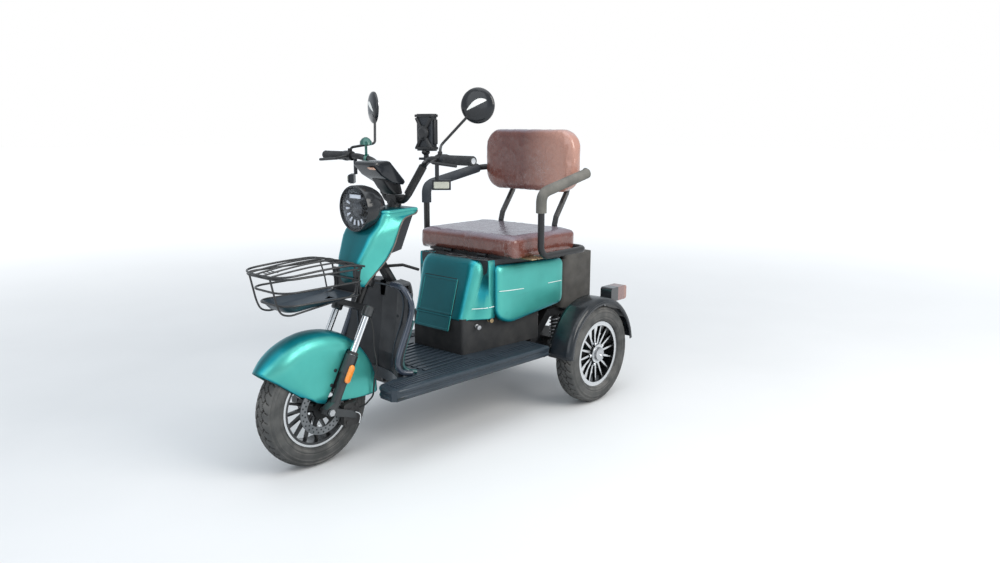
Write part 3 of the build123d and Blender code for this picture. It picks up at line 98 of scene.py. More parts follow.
class NodeSheet:
    """Builds one node material step by step."""

    def __init__(self, name: str) -> None:
        """Starts an empty material with a shader and an output."""
        self.material = bpy.data.materials.new(name)
        self.material.use_nodes = True
        self.nodes = self.material.node_tree.nodes
        self.links = self.material.node_tree.links
        self.nodes.clear()
        self.output = self.nodes.new("ShaderNodeOutputMaterial")
        self.shader = self.nodes.new("ShaderNodeBsdfPrincipled")
        self.links.new(self.shader.outputs["BSDF"], self.output.inputs["Surface"])
        self.coords = self.nodes.new("ShaderNodeTexCoord").outputs["Object"]

    def set(self, **values: object) -> None:
        """Writes plain values on the shader's own sockets, underscores standing for spaces."""
        for key, value in values.items():
            self.shader.inputs[key.replace("_", " ")].default_value = value

    def feed(self, source: Socket, socket: str) -> None:
        """Links a socket to one of the shader's inputs."""
        self.links.new(source, self.shader.inputs[socket])

    def stretched(self, scale: Point) -> Socket:
        """Object coordinates scaled on each axis.

        Args:
            scale: The factor on each axis.

        Returns:
            The socket with the scaled vector.
        """
        node = self.nodes.new("ShaderNodeMapping")
        node.inputs["Scale"].default_value = scale
        self.links.new(self.coords, node.inputs["Vector"])
        return node.outputs["Vector"]

    def noise(self, scale: float, detail: float = 4.0, vector: Socket | None = None) -> Socket:
        """A cloud noise.

        Args:
            scale: Number of clouds in a metre.
            detail: Octaves of finer noise.
            vector: Coordinates, or None for the object's own.

        Returns:
            The socket with the noise value.
        """
        node = self.nodes.new("ShaderNodeTexNoise")
        node.inputs["Scale"].default_value = scale
        node.inputs["Detail"].default_value = detail
        self.links.new(vector or self.coords, node.inputs["Vector"])
        return node.outputs["Fac"]

    def span(self, source: Socket, low: float, high: float, to_low: float, to_high: float) -> Socket:
        """Maps a value from one span to another, clamped.

        Args:
            source: The value.
            low: Start of its span.
            high: End of its span.
            to_low: What the start becomes.
            to_high: What the end becomes.

        Returns:
            The socket with the mapped value.
        """
        node = self.nodes.new("ShaderNodeMapRange")
        for key, value in (("From Min", low), ("From Max", high), ("To Min", to_low), ("To Max", to_high)):
            node.inputs[key].default_value = value
        self.links.new(source, node.inputs["Value"])
        return node.outputs["Result"]

    def math(self, operation: str, first: Socket, second: Socket | float) -> Socket:
        """Joins two values by a math operation.

        Args:
            operation: The name of the operation.
            first: The first value.
            second: The second value, a socket or a number.

        Returns:
            The socket with the result.
        """
        node = self.nodes.new("ShaderNodeMath")
        node.operation = operation
        self.links.new(first, node.inputs[0])
        if isinstance(second, (int, float)):
            node.inputs[1].default_value = second
        else:
            self.links.new(second, node.inputs[1])
        return node.outputs["Value"]

    def blend(self, factor: Socket, first: object, second: object) -> Socket:
        """Mixes two colours.

        Args:
            factor: How much of the second colour shows.
            first: A colour or a socket.
            second: A colour or a socket.

        Returns:
            The socket with the mixed colour.
        """
        node = self.nodes.new("ShaderNodeMix")
        node.data_type = "RGBA"
        self.links.new(factor, node.inputs[0])
        for index, value in ((6, first), (7, second)):
            if isinstance(value, Socket):
                self.links.new(value, node.inputs[index])
            else:
                node.inputs[index].default_value = (*value, 1.0)
        return node.outputs[2]

    def normal_part(self, axis: str) -> Socket:
        """One component of the surface normal.

        Args:
            axis: X, Y or Z.

        Returns:
            The socket with the component.
        """
        place = self.nodes.new("ShaderNodeTexCoord")
        parts = self.nodes.new("ShaderNodeSeparateXYZ")
        self.links.new(place.outputs["Normal"], parts.inputs[0])
        return parts.outputs[axis]

    def place_part(self, axis: str) -> Socket:
        """One component of the object coordinates."""
        parts = self.nodes.new("ShaderNodeSeparateXYZ")
        self.links.new(self.coords, parts.inputs[0])
        return parts.outputs[axis]

    def bump(self, height: Socket, strength: float, depth: float) -> None:
        """Feeds a height to the shader's normal.

        Args:
            height: The height value.
            strength: Strength from 0 to 1.
            depth: Depth in metres.
        """
        node = self.nodes.new("ShaderNodeBump")
        node.inputs["Strength"].default_value = strength
        node.inputs["Distance"].default_value = depth
        self.links.new(height, node.inputs["Height"])
        self.links.new(node.outputs["Normal"], self.shader.inputs["Normal"])


@dataclass(frozen=True)
class Finish:
    """A moulded or painted surface with mottling, dust and a fine grain."""

    name: str
    colour: Point
    second: Point
    roughness: float = 0.5
    metallic: float = 0.0
    coat: float = 0.0
    mottling: float = 9.0
    grain: float = 900.0
    grain_depth: float = 0.0002
    dust: float = 0.0
    dust_colour: Point = (0.30, 0.28, 0.25)
    gloss: float = 0.5

    @property
    def title(self) -> str:
        """Name of the node material, apart from the record's own slots."""
        return f"look_{self.name}"

    def mottled(self, sheet: NodeSheet) -> Socket:
        """Mixes the two colours by a cloud noise."""
        return sheet.blend(sheet.span(sheet.noise(self.mottling), 0.35, 0.65, 0, 1), self.colour, self.second)

    def paint(self, sheet: NodeSheet) -> Socket:
        """Mottles the surface and lays dust on what faces up.

        Args:
            sheet: The material in work.

        Returns:
            The socket with the colour.
        """
        tone = self.mottled(sheet)
        if self.dust:
            up = sheet.span(sheet.normal_part("Z"), -0.1, 1.0, 0.25, 1.0)
            patches = sheet.span(sheet.noise(self.mottling * 2.3, 6), 0.38, 0.7, 0.1, self.dust)
            tone = sheet.blend(sheet.math("MULTIPLY", up, patches), tone, self.dust_colour)
        return tone

    def material(self) -> bpy.types.Material:
        """Builds the node material, once.

        Returns:
            The material.
        """
        if self.title in bpy.data.materials:
            return bpy.data.materials[self.title]
        sheet = NodeSheet(self.title)
        self.fill(sheet)
        return sheet.material

    def fill(self, sheet: NodeSheet) -> None:
        """Sets the shader's values and feeds its colour, roughness and grain.

        Args:
            sheet: The material in work.
        """
        sheet.set(
            Metallic=self.metallic, Coat_Weight=self.coat, Coat_Roughness=0.5 * self.roughness,
            Specular_IOR_Level=self.gloss
        )
        sheet.feed(self.paint(sheet), "Base Color")
        rough = sheet.span(
            sheet.noise(self.mottling * 3), 0.3, 0.7, self.roughness * 0.8, min(1.0, self.roughness * 1.25)
        )
        sheet.feed(rough, "Roughness")
        sheet.bump(sheet.noise(self.grain, 3), 0.35, self.grain_depth)


@dataclass(frozen=True)
class Lacquer(Finish):
    """Metallic lacquer with painted light and shade: near black where it faces front, back or down, running through
    cyan to mint as it turns to the side or up.
    """

    painted_light_stops: tuple[tuple[float, Point], ...] = (
        # how far the surface turns to the side or up, colour: near black is painted shade, mint is painted light
        (0.00, (0.001, 0.020, 0.026)),
        (0.22, (0.002, 0.060, 0.072)),
        (0.42, (0.003, 0.150, 0.180)),
        (0.66, (0.006, 0.330, 0.390)),
        (0.84, (0.075, 0.470, 0.420)),
        (1.00, (0.100, 0.460, 0.390)),
    )
    side_pull: float = 0.88
    front_pull: float = 0.26
    top_pull: float = 0.24

    def paint(self, sheet: NodeSheet) -> Socket:
        """Paints light and shade by the way the surface faces, sides and top lit, front, back and underside shaded,
        with fine flakes in it.

        Args:
            sheet: The material in work.

        Returns:
            The socket with the colour.
        """
        # painted light: the sides and the top turn mint, while the front, back and underside stay dark as painted
        # shade
        side = sheet.math("MULTIPLY", sheet.math("ABSOLUTE", sheet.normal_part("Y"), 0.0), self.side_pull)
        front = sheet.math("MULTIPLY", sheet.math("MAXIMUM", sheet.normal_part("X"), 0.0), self.front_pull)
        top = sheet.math("MULTIPLY", sheet.normal_part("Z"), self.top_pull)
        light_share = sheet.math("ADD", sheet.math("ADD", side, front), top)
        ramp = sheet.nodes.new("ShaderNodeValToRGB")
        ramp.color_ramp.interpolation = "EASE"
        marks = ramp.color_ramp.elements
        while len(marks) < len(self.painted_light_stops):
            marks.new(0.5)
        for mark, (place, colour) in zip(marks, self.painted_light_stops):
            mark.position = place
            mark.color = (*colour, 1.0)
        sheet.links.new(light_share, ramp.inputs["Fac"])
        flakes = sheet.span(sheet.noise(5200, 1), 0.40, 0.62, 0, 0.10)
        cloud = sheet.span(sheet.noise(self.mottling), 0.35, 0.65, 0.0, 0.12)
        tone = sheet.blend(flakes, ramp.outputs["Color"], self.second)
        return sheet.blend(cloud, tone, self.colour)


@dataclass(frozen=True)
class Machined(Finish):
    """Alloy that is bright where it was turned flat, and dark in between."""

    bright: Point = (0.62, 0.64, 0.66)

    def paint(self, sheet: NodeSheet) -> Socket:
        """Shows the bright tone on the faces that look along the axle."""
        face = sheet.math("ABSOLUTE", sheet.normal_part("Y"), 0.0)
        return sheet.blend(sheet.span(face, 0.88, 0.97, 0, 1), self.colour, self.bright)


@dataclass(frozen=True)
class WrappedVinyl(Finish):
    """Brown vinyl under a creased clear film."""

    # pale colour of the creases: painted highlight where the film's folds catch the light
    crease: Point = (0.60, 0.55, 0.56)
    # painted sheen: the grey of the film's reflection on what faces up
    sheen: Point = (0.215, 0.195, 0.245)
    # colour of a painted patch of orange light
    sunlit_patch: Point = (0.62, 0.33, 0.25)
    folds: tuple[tuple[float, Point, float], ...] = (
        # scale, stretch on each axis, width of the crease line
        (9, (0.7, 3.4, 1.0), 0.007),
        (16, (3.2, 0.8, 1.6), 0.006),
        (26, (1.0, 2.0, 3.4), 0.006),
    )

    def fill(self, sheet: NodeSheet) -> None:
        """Lays pale crease lines as painted highlights, a painted grey sheen on what faces up and a painted patch of
        orange light over the vinyl.

        Args:
            sheet: The material in work.
        """
        sheet.set(Coat_Weight=0.8, Coat_Roughness=0.14)
        tone = self.mottled(sheet)
        ridges = []
        for scale, stretch, width in self.folds:
            folds = sheet.noise(scale, 3, sheet.stretched(stretch))
            away = sheet.math("ABSOLUTE", sheet.math("SUBTRACT", folds, 0.5), 0.0)
            ridges.append(sheet.span(away, 0.0, width, 1.0, 0.0))
        # the crease lines are painted highlights, gated by a noise; they also feed the bump below
        lines = sheet.math("MAXIMUM", sheet.math("MAXIMUM", ridges[0], ridges[1]), ridges[2])
        gate = sheet.span(sheet.noise(7, 2), 0.48, 0.70, 0.03, 0.50)
        lines = sheet.math("MULTIPLY", lines, gate)
        # painted sheen: surfaces facing up take the film's grey reflection colour
        up = sheet.span(sheet.normal_part("Z"), 0.45, 0.95, 0.0, 0.74)
        film = sheet.blend(up, tone, self.sheen)
        # painted light: a patch of orange light on the left part of the backrest, set by place
        sunlit_patch = sheet.math(
            "MULTIPLY", sheet.span(sheet.place_part("Y"), -0.02, 0.17, 0.0, 0.62),
            sheet.span(sheet.place_part("Z"), 0.80, 0.88, 0.0, 1.0)
        )
        film = sheet.blend(sunlit_patch, film, self.sunlit_patch)
        sheet.feed(sheet.blend(lines, film, self.crease), "Base Color")
        sheet.feed(sheet.span(sheet.noise(30, 3), 0.3, 0.7, 0.18, 0.40), "Roughness")
        soft = sheet.noise(24, 4, sheet.stretched((1.0, 2.4, 1.6)))
        sheet.bump(sheet.math("ADD", soft, sheet.math("MULTIPLY", lines, 0.35)), 0.6, 0.004)


@dataclass(frozen=True)
class Banded(Finish):
    """A finish whose colour changes along X at set places."""

    bands: tuple[tuple[float, Point], ...] = ()

    def paint(self, sheet: NodeSheet) -> Socket:
        """Steps from band to band along X.

        Args:
            sheet: The material in work.

        Returns:
            The socket with the colour.
        """
        along = sheet.place_part("X")
        result = super().paint(sheet)
        for start, colour in self.bands:
            result = sheet.blend(sheet.span(along, start, start - 0.002, 0, 1), result, colour)
        return result


@dataclass(frozen=True)
class DiscBand(Finish):
    """Ground steel on the outer band of a disc, black on what lies inside it."""

    centre: Point = (0.595, 0.0, 0.206)
    band_radius: float = 0.0615
    inner: Point = (0.014, 0.015, 0.016)

    def paint(self, sheet: NodeSheet) -> Socket:
        """Measures the distance from the axle.

        Args:
            sheet: The material in work.

        Returns:
            The socket with the colour.
        """
        across = sheet.math("POWER", sheet.math("SUBTRACT", sheet.place_part("X"), self.centre[0]), 2.0)
        height = sheet.math("POWER", sheet.math("SUBTRACT", sheet.place_part("Z"), self.centre[2]), 2.0)
        away = sheet.math("SQRT", sheet.math("ADD", across, height), 0.0)
        return sheet.blend(
            sheet.span(away, self.band_radius, self.band_radius + 0.001, 0, 1), self.inner, super().paint(sheet)
        )


@dataclass(frozen=True)
class PaleGround(Finish):
    """The studio floor: plain near the model, glowing softly far out so that no edge shows."""

    def fill(self, sheet: NodeSheet) -> None:
        """Gives the floor a glow that grows with the distance.

        Args:
            sheet: The material in work.
        """
        sheet.feed(self.paint(sheet), "Base Color")
        sheet.set(Roughness=self.roughness, Emission_Color=(1.0, 1.0, 1.0, 1.0), Specular_IOR_Level=0.1)
        squares = [sheet.math("POWER", sheet.place_part(axis), 2.0) for axis in ("X", "Y")]
        away = sheet.math("SQRT", sheet.math("ADD", squares[0], squares[1]), 0.0)
        sheet.feed(sheet.span(away, 1.6, 6.0, 0.0, 0.55), "Emission Strength")


@dataclass(frozen=True)
class Lens(Finish):
    """Clear or tinted lamp glass."""

    weight: float = 0.85

    def fill(self, sheet: NodeSheet) -> None:
        """Makes clear glass with a faint moulded ripple.

        Args:
            sheet: The material in work.
        """
        sheet.set(
            Base_Color=(*self.colour, 1.0), Transmission_Weight=self.weight, IOR=1.2, Coat_Weight=0.0,
            Specular_IOR_Level=0.25
        )
        sheet.feed(sheet.span(sheet.noise(40, 2), 0.3, 0.7, self.roughness * 0.6, self.roughness * 1.4), "Roughness")
        sheet.bump(sheet.noise(self.grain, 2), 0.2, self.grain_depth)


class Palette:
    """Every finish of the tricycle."""

    # name, colour, second colour, roughness, metallic, coat
    GREEN = Lacquer(
        "green_lacquer", (0.001, 0.045, 0.053), (0.09, 0.46, 0.46), 0.36, 0.55, 0.25, grain_depth=0.00003, gloss=0.25
    )
    BLACK_GLOSS = Finish(
        "black_gloss", (0.006, 0.008, 0.011), (0.012, 0.015, 0.020), 0.18, 0.0, 0.3, grain_depth=0.00004, dust=0.04,
        gloss=0.3
    )
    GUARD = Finish(
        "guard_black", (0.002, 0.005, 0.009), (0.006, 0.011, 0.017), 0.20, 0.0, 0.3, grain_depth=0.00003, dust=0.03,
        gloss=0.25
    )
    BLACK_METAL = Finish(
        "black_metal", (0.007, 0.008, 0.010), (0.014, 0.015, 0.018), 0.34, 0.1, 0.2, dust=0.08, gloss=0.3
    )
    WIRE = Finish("wire_black", (0.006, 0.007, 0.009), (0.014, 0.015, 0.018), 0.38, 0.1, 0.3, dust=0.04)
    DARK_PLASTIC = Finish(
        "dark_plastic", (0.008, 0.011, 0.016), (0.015, 0.019, 0.026), 0.42, 0.0, 0.12, grain=1400, dust=0.12,
        gloss=0.3
    )
    TUB_PLASTIC = Finish(
        "tub_plastic", (0.014, 0.016, 0.019), (0.028, 0.029, 0.031), 0.55, grain=1100, grain_depth=0.0004, dust=0.26,
        gloss=0.25
    )
    FLOOR_PLASTIC = Finish(
        "floor_plastic", (0.011, 0.021, 0.031), (0.022, 0.034, 0.047), 0.36, 0.0, 0.2, grain=1200, dust=0.18,
        dust_colour=(0.12, 0.15, 0.18), gloss=0.35
    )
    BOX_PLASTIC = Finish(
        "box_plastic", (0.045, 0.043, 0.041), (0.080, 0.076, 0.070), 0.7, grain=1300, grain_depth=0.0004, dust=0.40,
        gloss=0.3
    )
    RUBBER = Finish(
        "tyre_rubber", (0.045, 0.047, 0.048), (0.085, 0.087, 0.086), 0.85, grain=500, grain_depth=0.0005, dust=0.8,
        dust_colour=(0.25, 0.24, 0.225), gloss=0.25
    )
    # darker rubber for the tread grooves: painted shade in the grooves, with less dust than the tread
    GROOVE_SHADE = Finish("tyre_groove_shade", (0.010, 0.010, 0.011), (0.022, 0.021, 0.020), 0.9, grain=500, dust=0.3, gloss=0.2)
    GRIP_RUBBER = Finish("grip_rubber", (0.02, 0.021, 0.022), (0.035, 0.036, 0.038), 0.75, grain=900)
    FOAM = Finish(
        "sleeve_foam", (0.090, 0.090, 0.082), (0.150, 0.145, 0.130), 0.85, grain=700, grain_depth=0.0008, dust=0.5,
        gloss=0.3
    )
    # a darker copy of the sleeve foam: painted shade for the far sleeve
    SHADED_FOAM = Finish(
        "shaded_sleeve_foam", (0.020, 0.028, 0.038), (0.036, 0.044, 0.055), 0.8, grain=700, grain_depth=0.0008,
        dust=0.2, gloss=0.3
    )
    VINYL = WrappedVinyl("wrapped_vinyl", (0.105, 0.026, 0.018), (0.165, 0.050, 0.034), mottling=5)
    SEAT_PAN = Finish("pan_plastic", (0.02, 0.02, 0.022), (0.03, 0.03, 0.032), 0.6)
    DARK_RIM = Machined(
        "dark_rim", (0.012, 0.013, 0.014), (0.02, 0.02, 0.02), 0.3, 0.4, 0.4, bright=(0.03, 0.032, 0.035)
    )
    BRIGHT_RIM = Machined("bright_rim", (0.012, 0.013, 0.014), (0.02, 0.02, 0.02), 0.28, 0.6, 0.4)
    LIP = Finish("polished_lip", (0.62, 0.64, 0.66), (0.72, 0.73, 0.74), 0.2, 0.85, 0.0, grain_depth=0.00005)
    STEEL = Finish("brushed_steel", (0.42, 0.43, 0.45), (0.55, 0.56, 0.58), 0.35, 0.9, grain_depth=0.0001, dust=0.2)
    DISC = DiscBand("disc_steel", (0.14, 0.15, 0.16), (0.22, 0.23, 0.24), 0.38, 0.7, grain_depth=0.0001)
    CHROME = Finish("leg_chrome", (0.78, 0.80, 0.82), (0.86, 0.87, 0.88), 0.10, 0.95, grain_depth=0.00003)
    FORK_GREY = Finish("fork_grey", (0.020, 0.026, 0.030), (0.04, 0.045, 0.05), 0.38, 0.5, 0.3, dust=0.2)
    CAST_IRON = Finish("cast_iron", (0.02, 0.02, 0.022), (0.04, 0.04, 0.042), 0.6, 0.4, dust=0.25)
    AMBER = Finish("amber_reflector", (0.80, 0.22, 0.02), (0.95, 0.34, 0.04), 0.25, 0.0, 0.8)
    CLEAR = Lens("clear_glass", (0.95, 0.97, 1.0), (1, 1, 1), 0.02, weight=1.0)
    WHITE_LENS = Finish("white_lens", (0.42, 0.42, 0.35), (0.52, 0.52, 0.44), 0.25, 0.0, 0.5)
    LAMP_DARK = Finish("lamp_dark", (0.03, 0.035, 0.04), (0.06, 0.065, 0.07), 0.25, 0.6, 0.5)
    LAMP_WHITE = Finish("lamp_white", (0.85, 0.88, 0.92), (0.95, 0.96, 1.0), 0.3, 0.0, 0.6)
    MIRROR = Finish("mirror_face", (0.85, 0.87, 0.9), (0.9, 0.91, 0.93), 0.04, 1.0, grain_depth=0.00001)
    INLAY = Finish("mirror_inlay", (0.86, 0.86, 0.82), (0.94, 0.94, 0.9), 0.35, 0.0, 0.4)
    BELL = Finish("bell_green", (0.002, 0.075, 0.06), (0.008, 0.12, 0.09), 0.22, 0.3, 0.9)
    PEACH = Finish("warm_patch", (0.62, 0.34, 0.22), (0.70, 0.42, 0.30), 0.35, 0.0, 0.5)
    DISPLAY = Finish("display_grey", (0.03, 0.05, 0.08), (0.05, 0.07, 0.10), 0.15, 0.0, 1.0)
    EDGE = Finish("edge_strip", (0.13, 0.10, 0.085), (0.20, 0.155, 0.13), 0.35, 0.3, 0.4)
    RIM_BLUE = Finish(
        "rim_blue_black", (0.020, 0.032, 0.055), (0.032, 0.046, 0.075), 0.22, 0.1, 0.5, grain_depth=0.00004, dust=0.08
    )
    TEAL_TRIM = Finish("teal_trim", (0.001, 0.060, 0.062), (0.003, 0.100, 0.100), 0.30, 0.1, 0.6)
    BRASS = Finish("worn_brass", (0.28, 0.20, 0.10), (0.40, 0.30, 0.18), 0.35, 0.8)
    STRIPE = Finish("white_stripe", (0.80, 0.86, 0.84), (0.88, 0.92, 0.9), 0.35, 0.0, 0.6)
    DARK_LINE = Finish("dark_seam", (0.006, 0.012, 0.014), (0.01, 0.016, 0.018), 0.6)
    TAIL = Banded(
        "tail_lens",
        (0.03, 0.032, 0.036),
        (0.03, 0.032, 0.036),
        0.25,
        0.0,
        0.8,
        bands=((-0.738, (0.22, 0.125, 0.115)), (-0.785, (0.30, 0.16, 0.13))),
    )
    GROUND = PaleGround("pale_floor", (0.80, 0.80, 0.80), (0.82, 0.82, 0.82), 0.9, mottling=1.5)


# Mesh making


class Maker:
    """Turns point lists in millimetres into smooth, dressed pieces."""

    @staticmethod
    def link(name: str, data: bpy.types.ID) -> Piece:
        """Puts a mesh, a curve, a lamp or a camera into the scene as an object.

        Args:
            name: Name of the object.
            data: What it holds.

        Returns:
            The object.
        """
        piece = bpy.data.objects.new(name, data)
        bpy.context.scene.collection.objects.link(piece)
        return piece

    @staticmethod
    def skin(
        name: str, rings: Sequence[Sequence[Point]], closed: bool = True, caps: bool = True, loop: bool = False
    ) -> Piece:
        """Joins rings of equal length by quads.

        Args:
            name: Name of the piece.
            rings: Rings of points in millimetres.
            closed: Whether each ring closes on itself.
            caps: Whether the first and last ring are filled.
            loop: Whether the last ring joins the first.

        Returns:
            The object.
        """
        count = len(rings[0])
        points = [tuple(c * MM for c in p) for ring in rings for p in ring]
        faces = []
        rows = len(rings) if loop else len(rings) - 1
        for i in range(rows):
            a = i * count
            b = ((i + 1) % len(rings)) * count
            for j in range(count if closed else count - 1):
                k = (j + 1) % count
                faces.append((a + j, a + k, b + k, b + j))
        if caps and not loop:
            faces.append(tuple(reversed(range(count))))
            last = (len(rings) - 1) * count
            faces.append(tuple(range(last, last + count)))
        mesh = bpy.data.meshes.new(name)
        mesh.from_pydata(points, [], faces)
        work = bmesh.new()
        work.from_mesh(mesh)
        bmesh.ops.remove_doubles(work, verts=work.verts, dist=0.00002)
        bmesh.ops.recalc_face_normals(work, faces=work.faces)
        work.to_mesh(mesh)
        work.free()
        return Maker.link(name, mesh)

    @staticmethod
    def lathe(
        name: str, profile: Sequence[tuple[float, float]], centre: Point, axis: Point = (0, 1, 0), steps: int = 72
    ) -> Piece:
        """Turns a closed profile about an axis.

        Args:
            name: Name of the piece.
            profile: Points as distance along the axis and radius.
            centre: A point on the axis, in millimetres.
            axis: Direction of the axis.
            steps: Number of steps round.

        Returns:
            The object.
        """
        along = Vector(axis).normalized()
        side = along.orthogonal().normalized()
        up = along.cross(side)
        rings = []
        for i in range(steps):
            turn = math.tau * i / steps
            out = side * math.cos(turn) + up * math.sin(turn)
            rings.append([tuple(Vector(centre) + along * a + out * r) for a, r in profile])
        return Maker.skin(name, rings, closed=True, caps=False, loop=True)

    @staticmethod
    def tube(
        name: str, points: Sequence[Point], radius: float, smooth: bool = True, cyclic: bool = False, sides: int = 5
    ) -> Piece:
        """A round tube along points.

        Args:
            name: Name of the piece.
            points: Points in millimetres.
            radius: Radius in millimetres.
            smooth: Whether the tube curves through the points rather than bends at them.
            cyclic: Whether the tube closes on itself.
            sides: Bevel resolution.

        Returns:
            The object.
        """
        curve = bpy.data.curves.new(name, "CURVE")
        curve.dimensions = "3D"
        curve.bevel_depth = radius * MM
        curve.bevel_resolution = sides
        curve.use_fill_caps = True
        curve.resolution_u = 8
        spline = curve.splines.new("NURBS" if smooth else "POLY")
        spline.points.add(len(points) - 1)
        for target, point in zip(spline.points, points):
            target.co = (*(c * MM for c in point), 1.0)
        spline.use_cyclic_u = cyclic
        if smooth:
            spline.order_u = 3
            spline.use_endpoint_u = not cyclic
        piece = Maker.link(name, curve)
        bpy.context.view_layer.update()
        mesh = bpy.data.meshes.new_from_object(piece)
        bpy.data.objects.remove(piece)
        return Maker.link(name, mesh)

    @staticmethod
    def rounded(points: Sequence[Point], radius: float, steps: int = 5) -> list[Point]:
        """Rounds the inner corners of a run of points.

        Args:
            points: The corner points.
            radius: How far from each corner its bend starts.
            steps: Points in each bend.

        Returns:
            The points with bends.
        """
        run = [Vector(p) for p in points]
        out: list[Point] = [tuple(run[0])]
        for before, corner, after in zip(run, run[1:], run[2:]):
            reach = min(radius, (before - corner).length * 0.48, (after - corner).length * 0.48)
            start = corner + (before - corner).normalized() * reach
            end = corner + (after - corner).normalized() * reach
            for i in range(steps + 1):
                t = i / steps
                out.append(tuple(start * (1 - t) ** 2 + corner * 2 * t * (1 - t) + end * t * t))
        out.append(tuple(run[-1]))
        return out

    @staticmethod
    def slab(name: str, outline: Sequence[Point], depth: Point, bevel: float = 2.0, segments: int = 3) -> Piece:
        """A plate from a flat outline, pushed along a direction, with rounded edges.

        Args:
            name: Name of the piece.
            outline: Points of the outline in millimetres.
            depth: The push in millimetres.
            bevel: Edge rounding in millimetres.
            segments: Steps in the rounding.

        Returns:
            The object.
        """
        far = [tuple(Vector(p) + Vector(depth)) for p in outline]
        piece = Maker.skin(name, [list(outline), far])
        Maker.soften_edges(piece, bevel, segments)
        return piece

    @staticmethod
    def tile(
        name: str,
        along: tuple[float, float],
        across: tuple[float, float],
        z: float,
        height: float,
        bevel: float = 2.0,
        segments: int = 3,
    ) -> Piece:
        """An upright block over a level rectangle."""
        corners = [(along[i], across[j], z) for i, j in ((0, 0), (1, 0), (1, 1), (0, 1))]
        return Maker.slab(name, corners, (0, 0, height), bevel, segments)

    @staticmethod
    def level_ring(half: Sequence[tuple[float, float]], z: float) -> list[Point]:
        """A level ring, the same on both sides."""
        return [(x, y, z) for x, y in half] + [(x, -y, z) for x, y in reversed(half[:-1])]

    @staticmethod
    def on_wheel(centre: Point, radius: float, turn: float, out: float = 0.0) -> Point:
        """A place on a wheel."""
        return (centre[0] + radius * math.cos(turn), centre[1] + out, centre[2] + radius * math.sin(turn))

    @staticmethod
    def soften_edges(piece: Piece, width: float, segments: int = 2, angle: float = 35.0) -> None:
        """Adds a bevel modifier on sharp edges.

        Args:
            piece: The piece.
            width: Bevel width in millimetres.
            segments: Steps in the bevel.
            angle: Edges sharper than this are bevelled, in degrees.
        """
        bevel = piece.modifiers.new("edges", "BEVEL")
        bevel.width = width * MM
        bevel.segments = segments
        bevel.limit_method = "ANGLE"
        bevel.angle_limit = math.radians(angle)
        bevel.harden_normals = False

    @staticmethod
    def thicken(piece: Piece, wall: float, inward: bool = True) -> None:
        """Gives a surface a wall by a solidify modifier."""
        solid = piece.modifiers.new("wall", "SOLIDIFY")
        solid.thickness = wall * MM
        solid.offset = -1.0 if inward else 1.0
        solid.use_even_offset = False

    @staticmethod
    def shade(piece: Piece, angle: float = 40.0) -> None:
        """Shades a mesh smooth except across sharp edges."""
        piece.data.shade_smooth()
        piece.data.set_sharp_from_angle(angle=math.radians(angle))

    @staticmethod
    def evaluated(piece: Piece) -> bpy.types.Mesh:
        """A new mesh of a piece with its modifiers in it."""
        bpy.context.view_layer.update()
        graph = bpy.context.evaluated_depsgraph_get()
        return bpy.data.meshes.new_from_object(piece.evaluated_get(graph))

    @staticmethod
    def join(name: str, pieces: Iterable[Piece]) -> Piece:
        """Joins plain mesh objects into one.

        Args:
            name: Name of the joined piece.
            pieces: The objects, which are used up.

        Returns:
            The joined object.
        """
        work = bmesh.new()
        for piece in pieces:
            mesh = Maker.evaluated(piece)
            work.from_mesh(mesh)
            bpy.data.meshes.remove(mesh)
            bpy.data.objects.remove(piece)
        mesh = bpy.data.meshes.new(name)
        work.to_mesh(mesh)
        work.free()
        return Maker.link(name, mesh)


@dataclass
class Assembly:
    """A group of pieces that ride on one body."""

    body: Body = Body.CHASSIS
    made: list[str] = field(default_factory=list)

    def add(
        self,
        piece: Piece,
        finish: Finish,
        replaces: Sequence[str] = (),
        slot: str | None = None,
        body: Body | None = None,
        angle: float = 40.0,
    ) -> Piece:
        """Dresses a piece, makes it ride, hides the CAD nodes it stands for and notes its name.

        Args:
            piece: The piece.
            finish: Its finish.
            replaces: CAD nodes it stands for.
            slot: Not used.
            body: The body it rides on, if not the assembly's own.
            angle: Edges sharper than this stay sharp.

        Returns:
            The piece.
        """
        piece.data.materials.clear()
        piece.data.materials.append(finish.material())
        if piece.type == "MESH":
            Maker.shade(piece, angle)
        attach(piece, (body or self.body).value)
        if replaces:
            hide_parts(*replaces)
        self.made.append(piece.name)
        return piece

    def dress(self, node: str, finish: Finish, bevel: float = 1.2, angle: float = 32.0) -> None:
        """Gives a CAD node its finish, smooth shading and softer edges.

        Args:
            node: Name of the CAD node.
            finish: Its finish.
            bevel: Edge rounding in millimetres, or 0 for none.
            angle: Edges sharper than this stay sharp.
        """
        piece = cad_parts[node]
        for slot in piece.material_slots:
            slot.material = finish.material()
        Maker.shade(piece, angle)
        if bevel:
            Maker.soften_edges(piece, bevel, 2, angle)
        self.made.append(node)

    def build(self) -> None:
        """Makes every piece of the assembly."""
        raise NotImplementedError


# Wheels


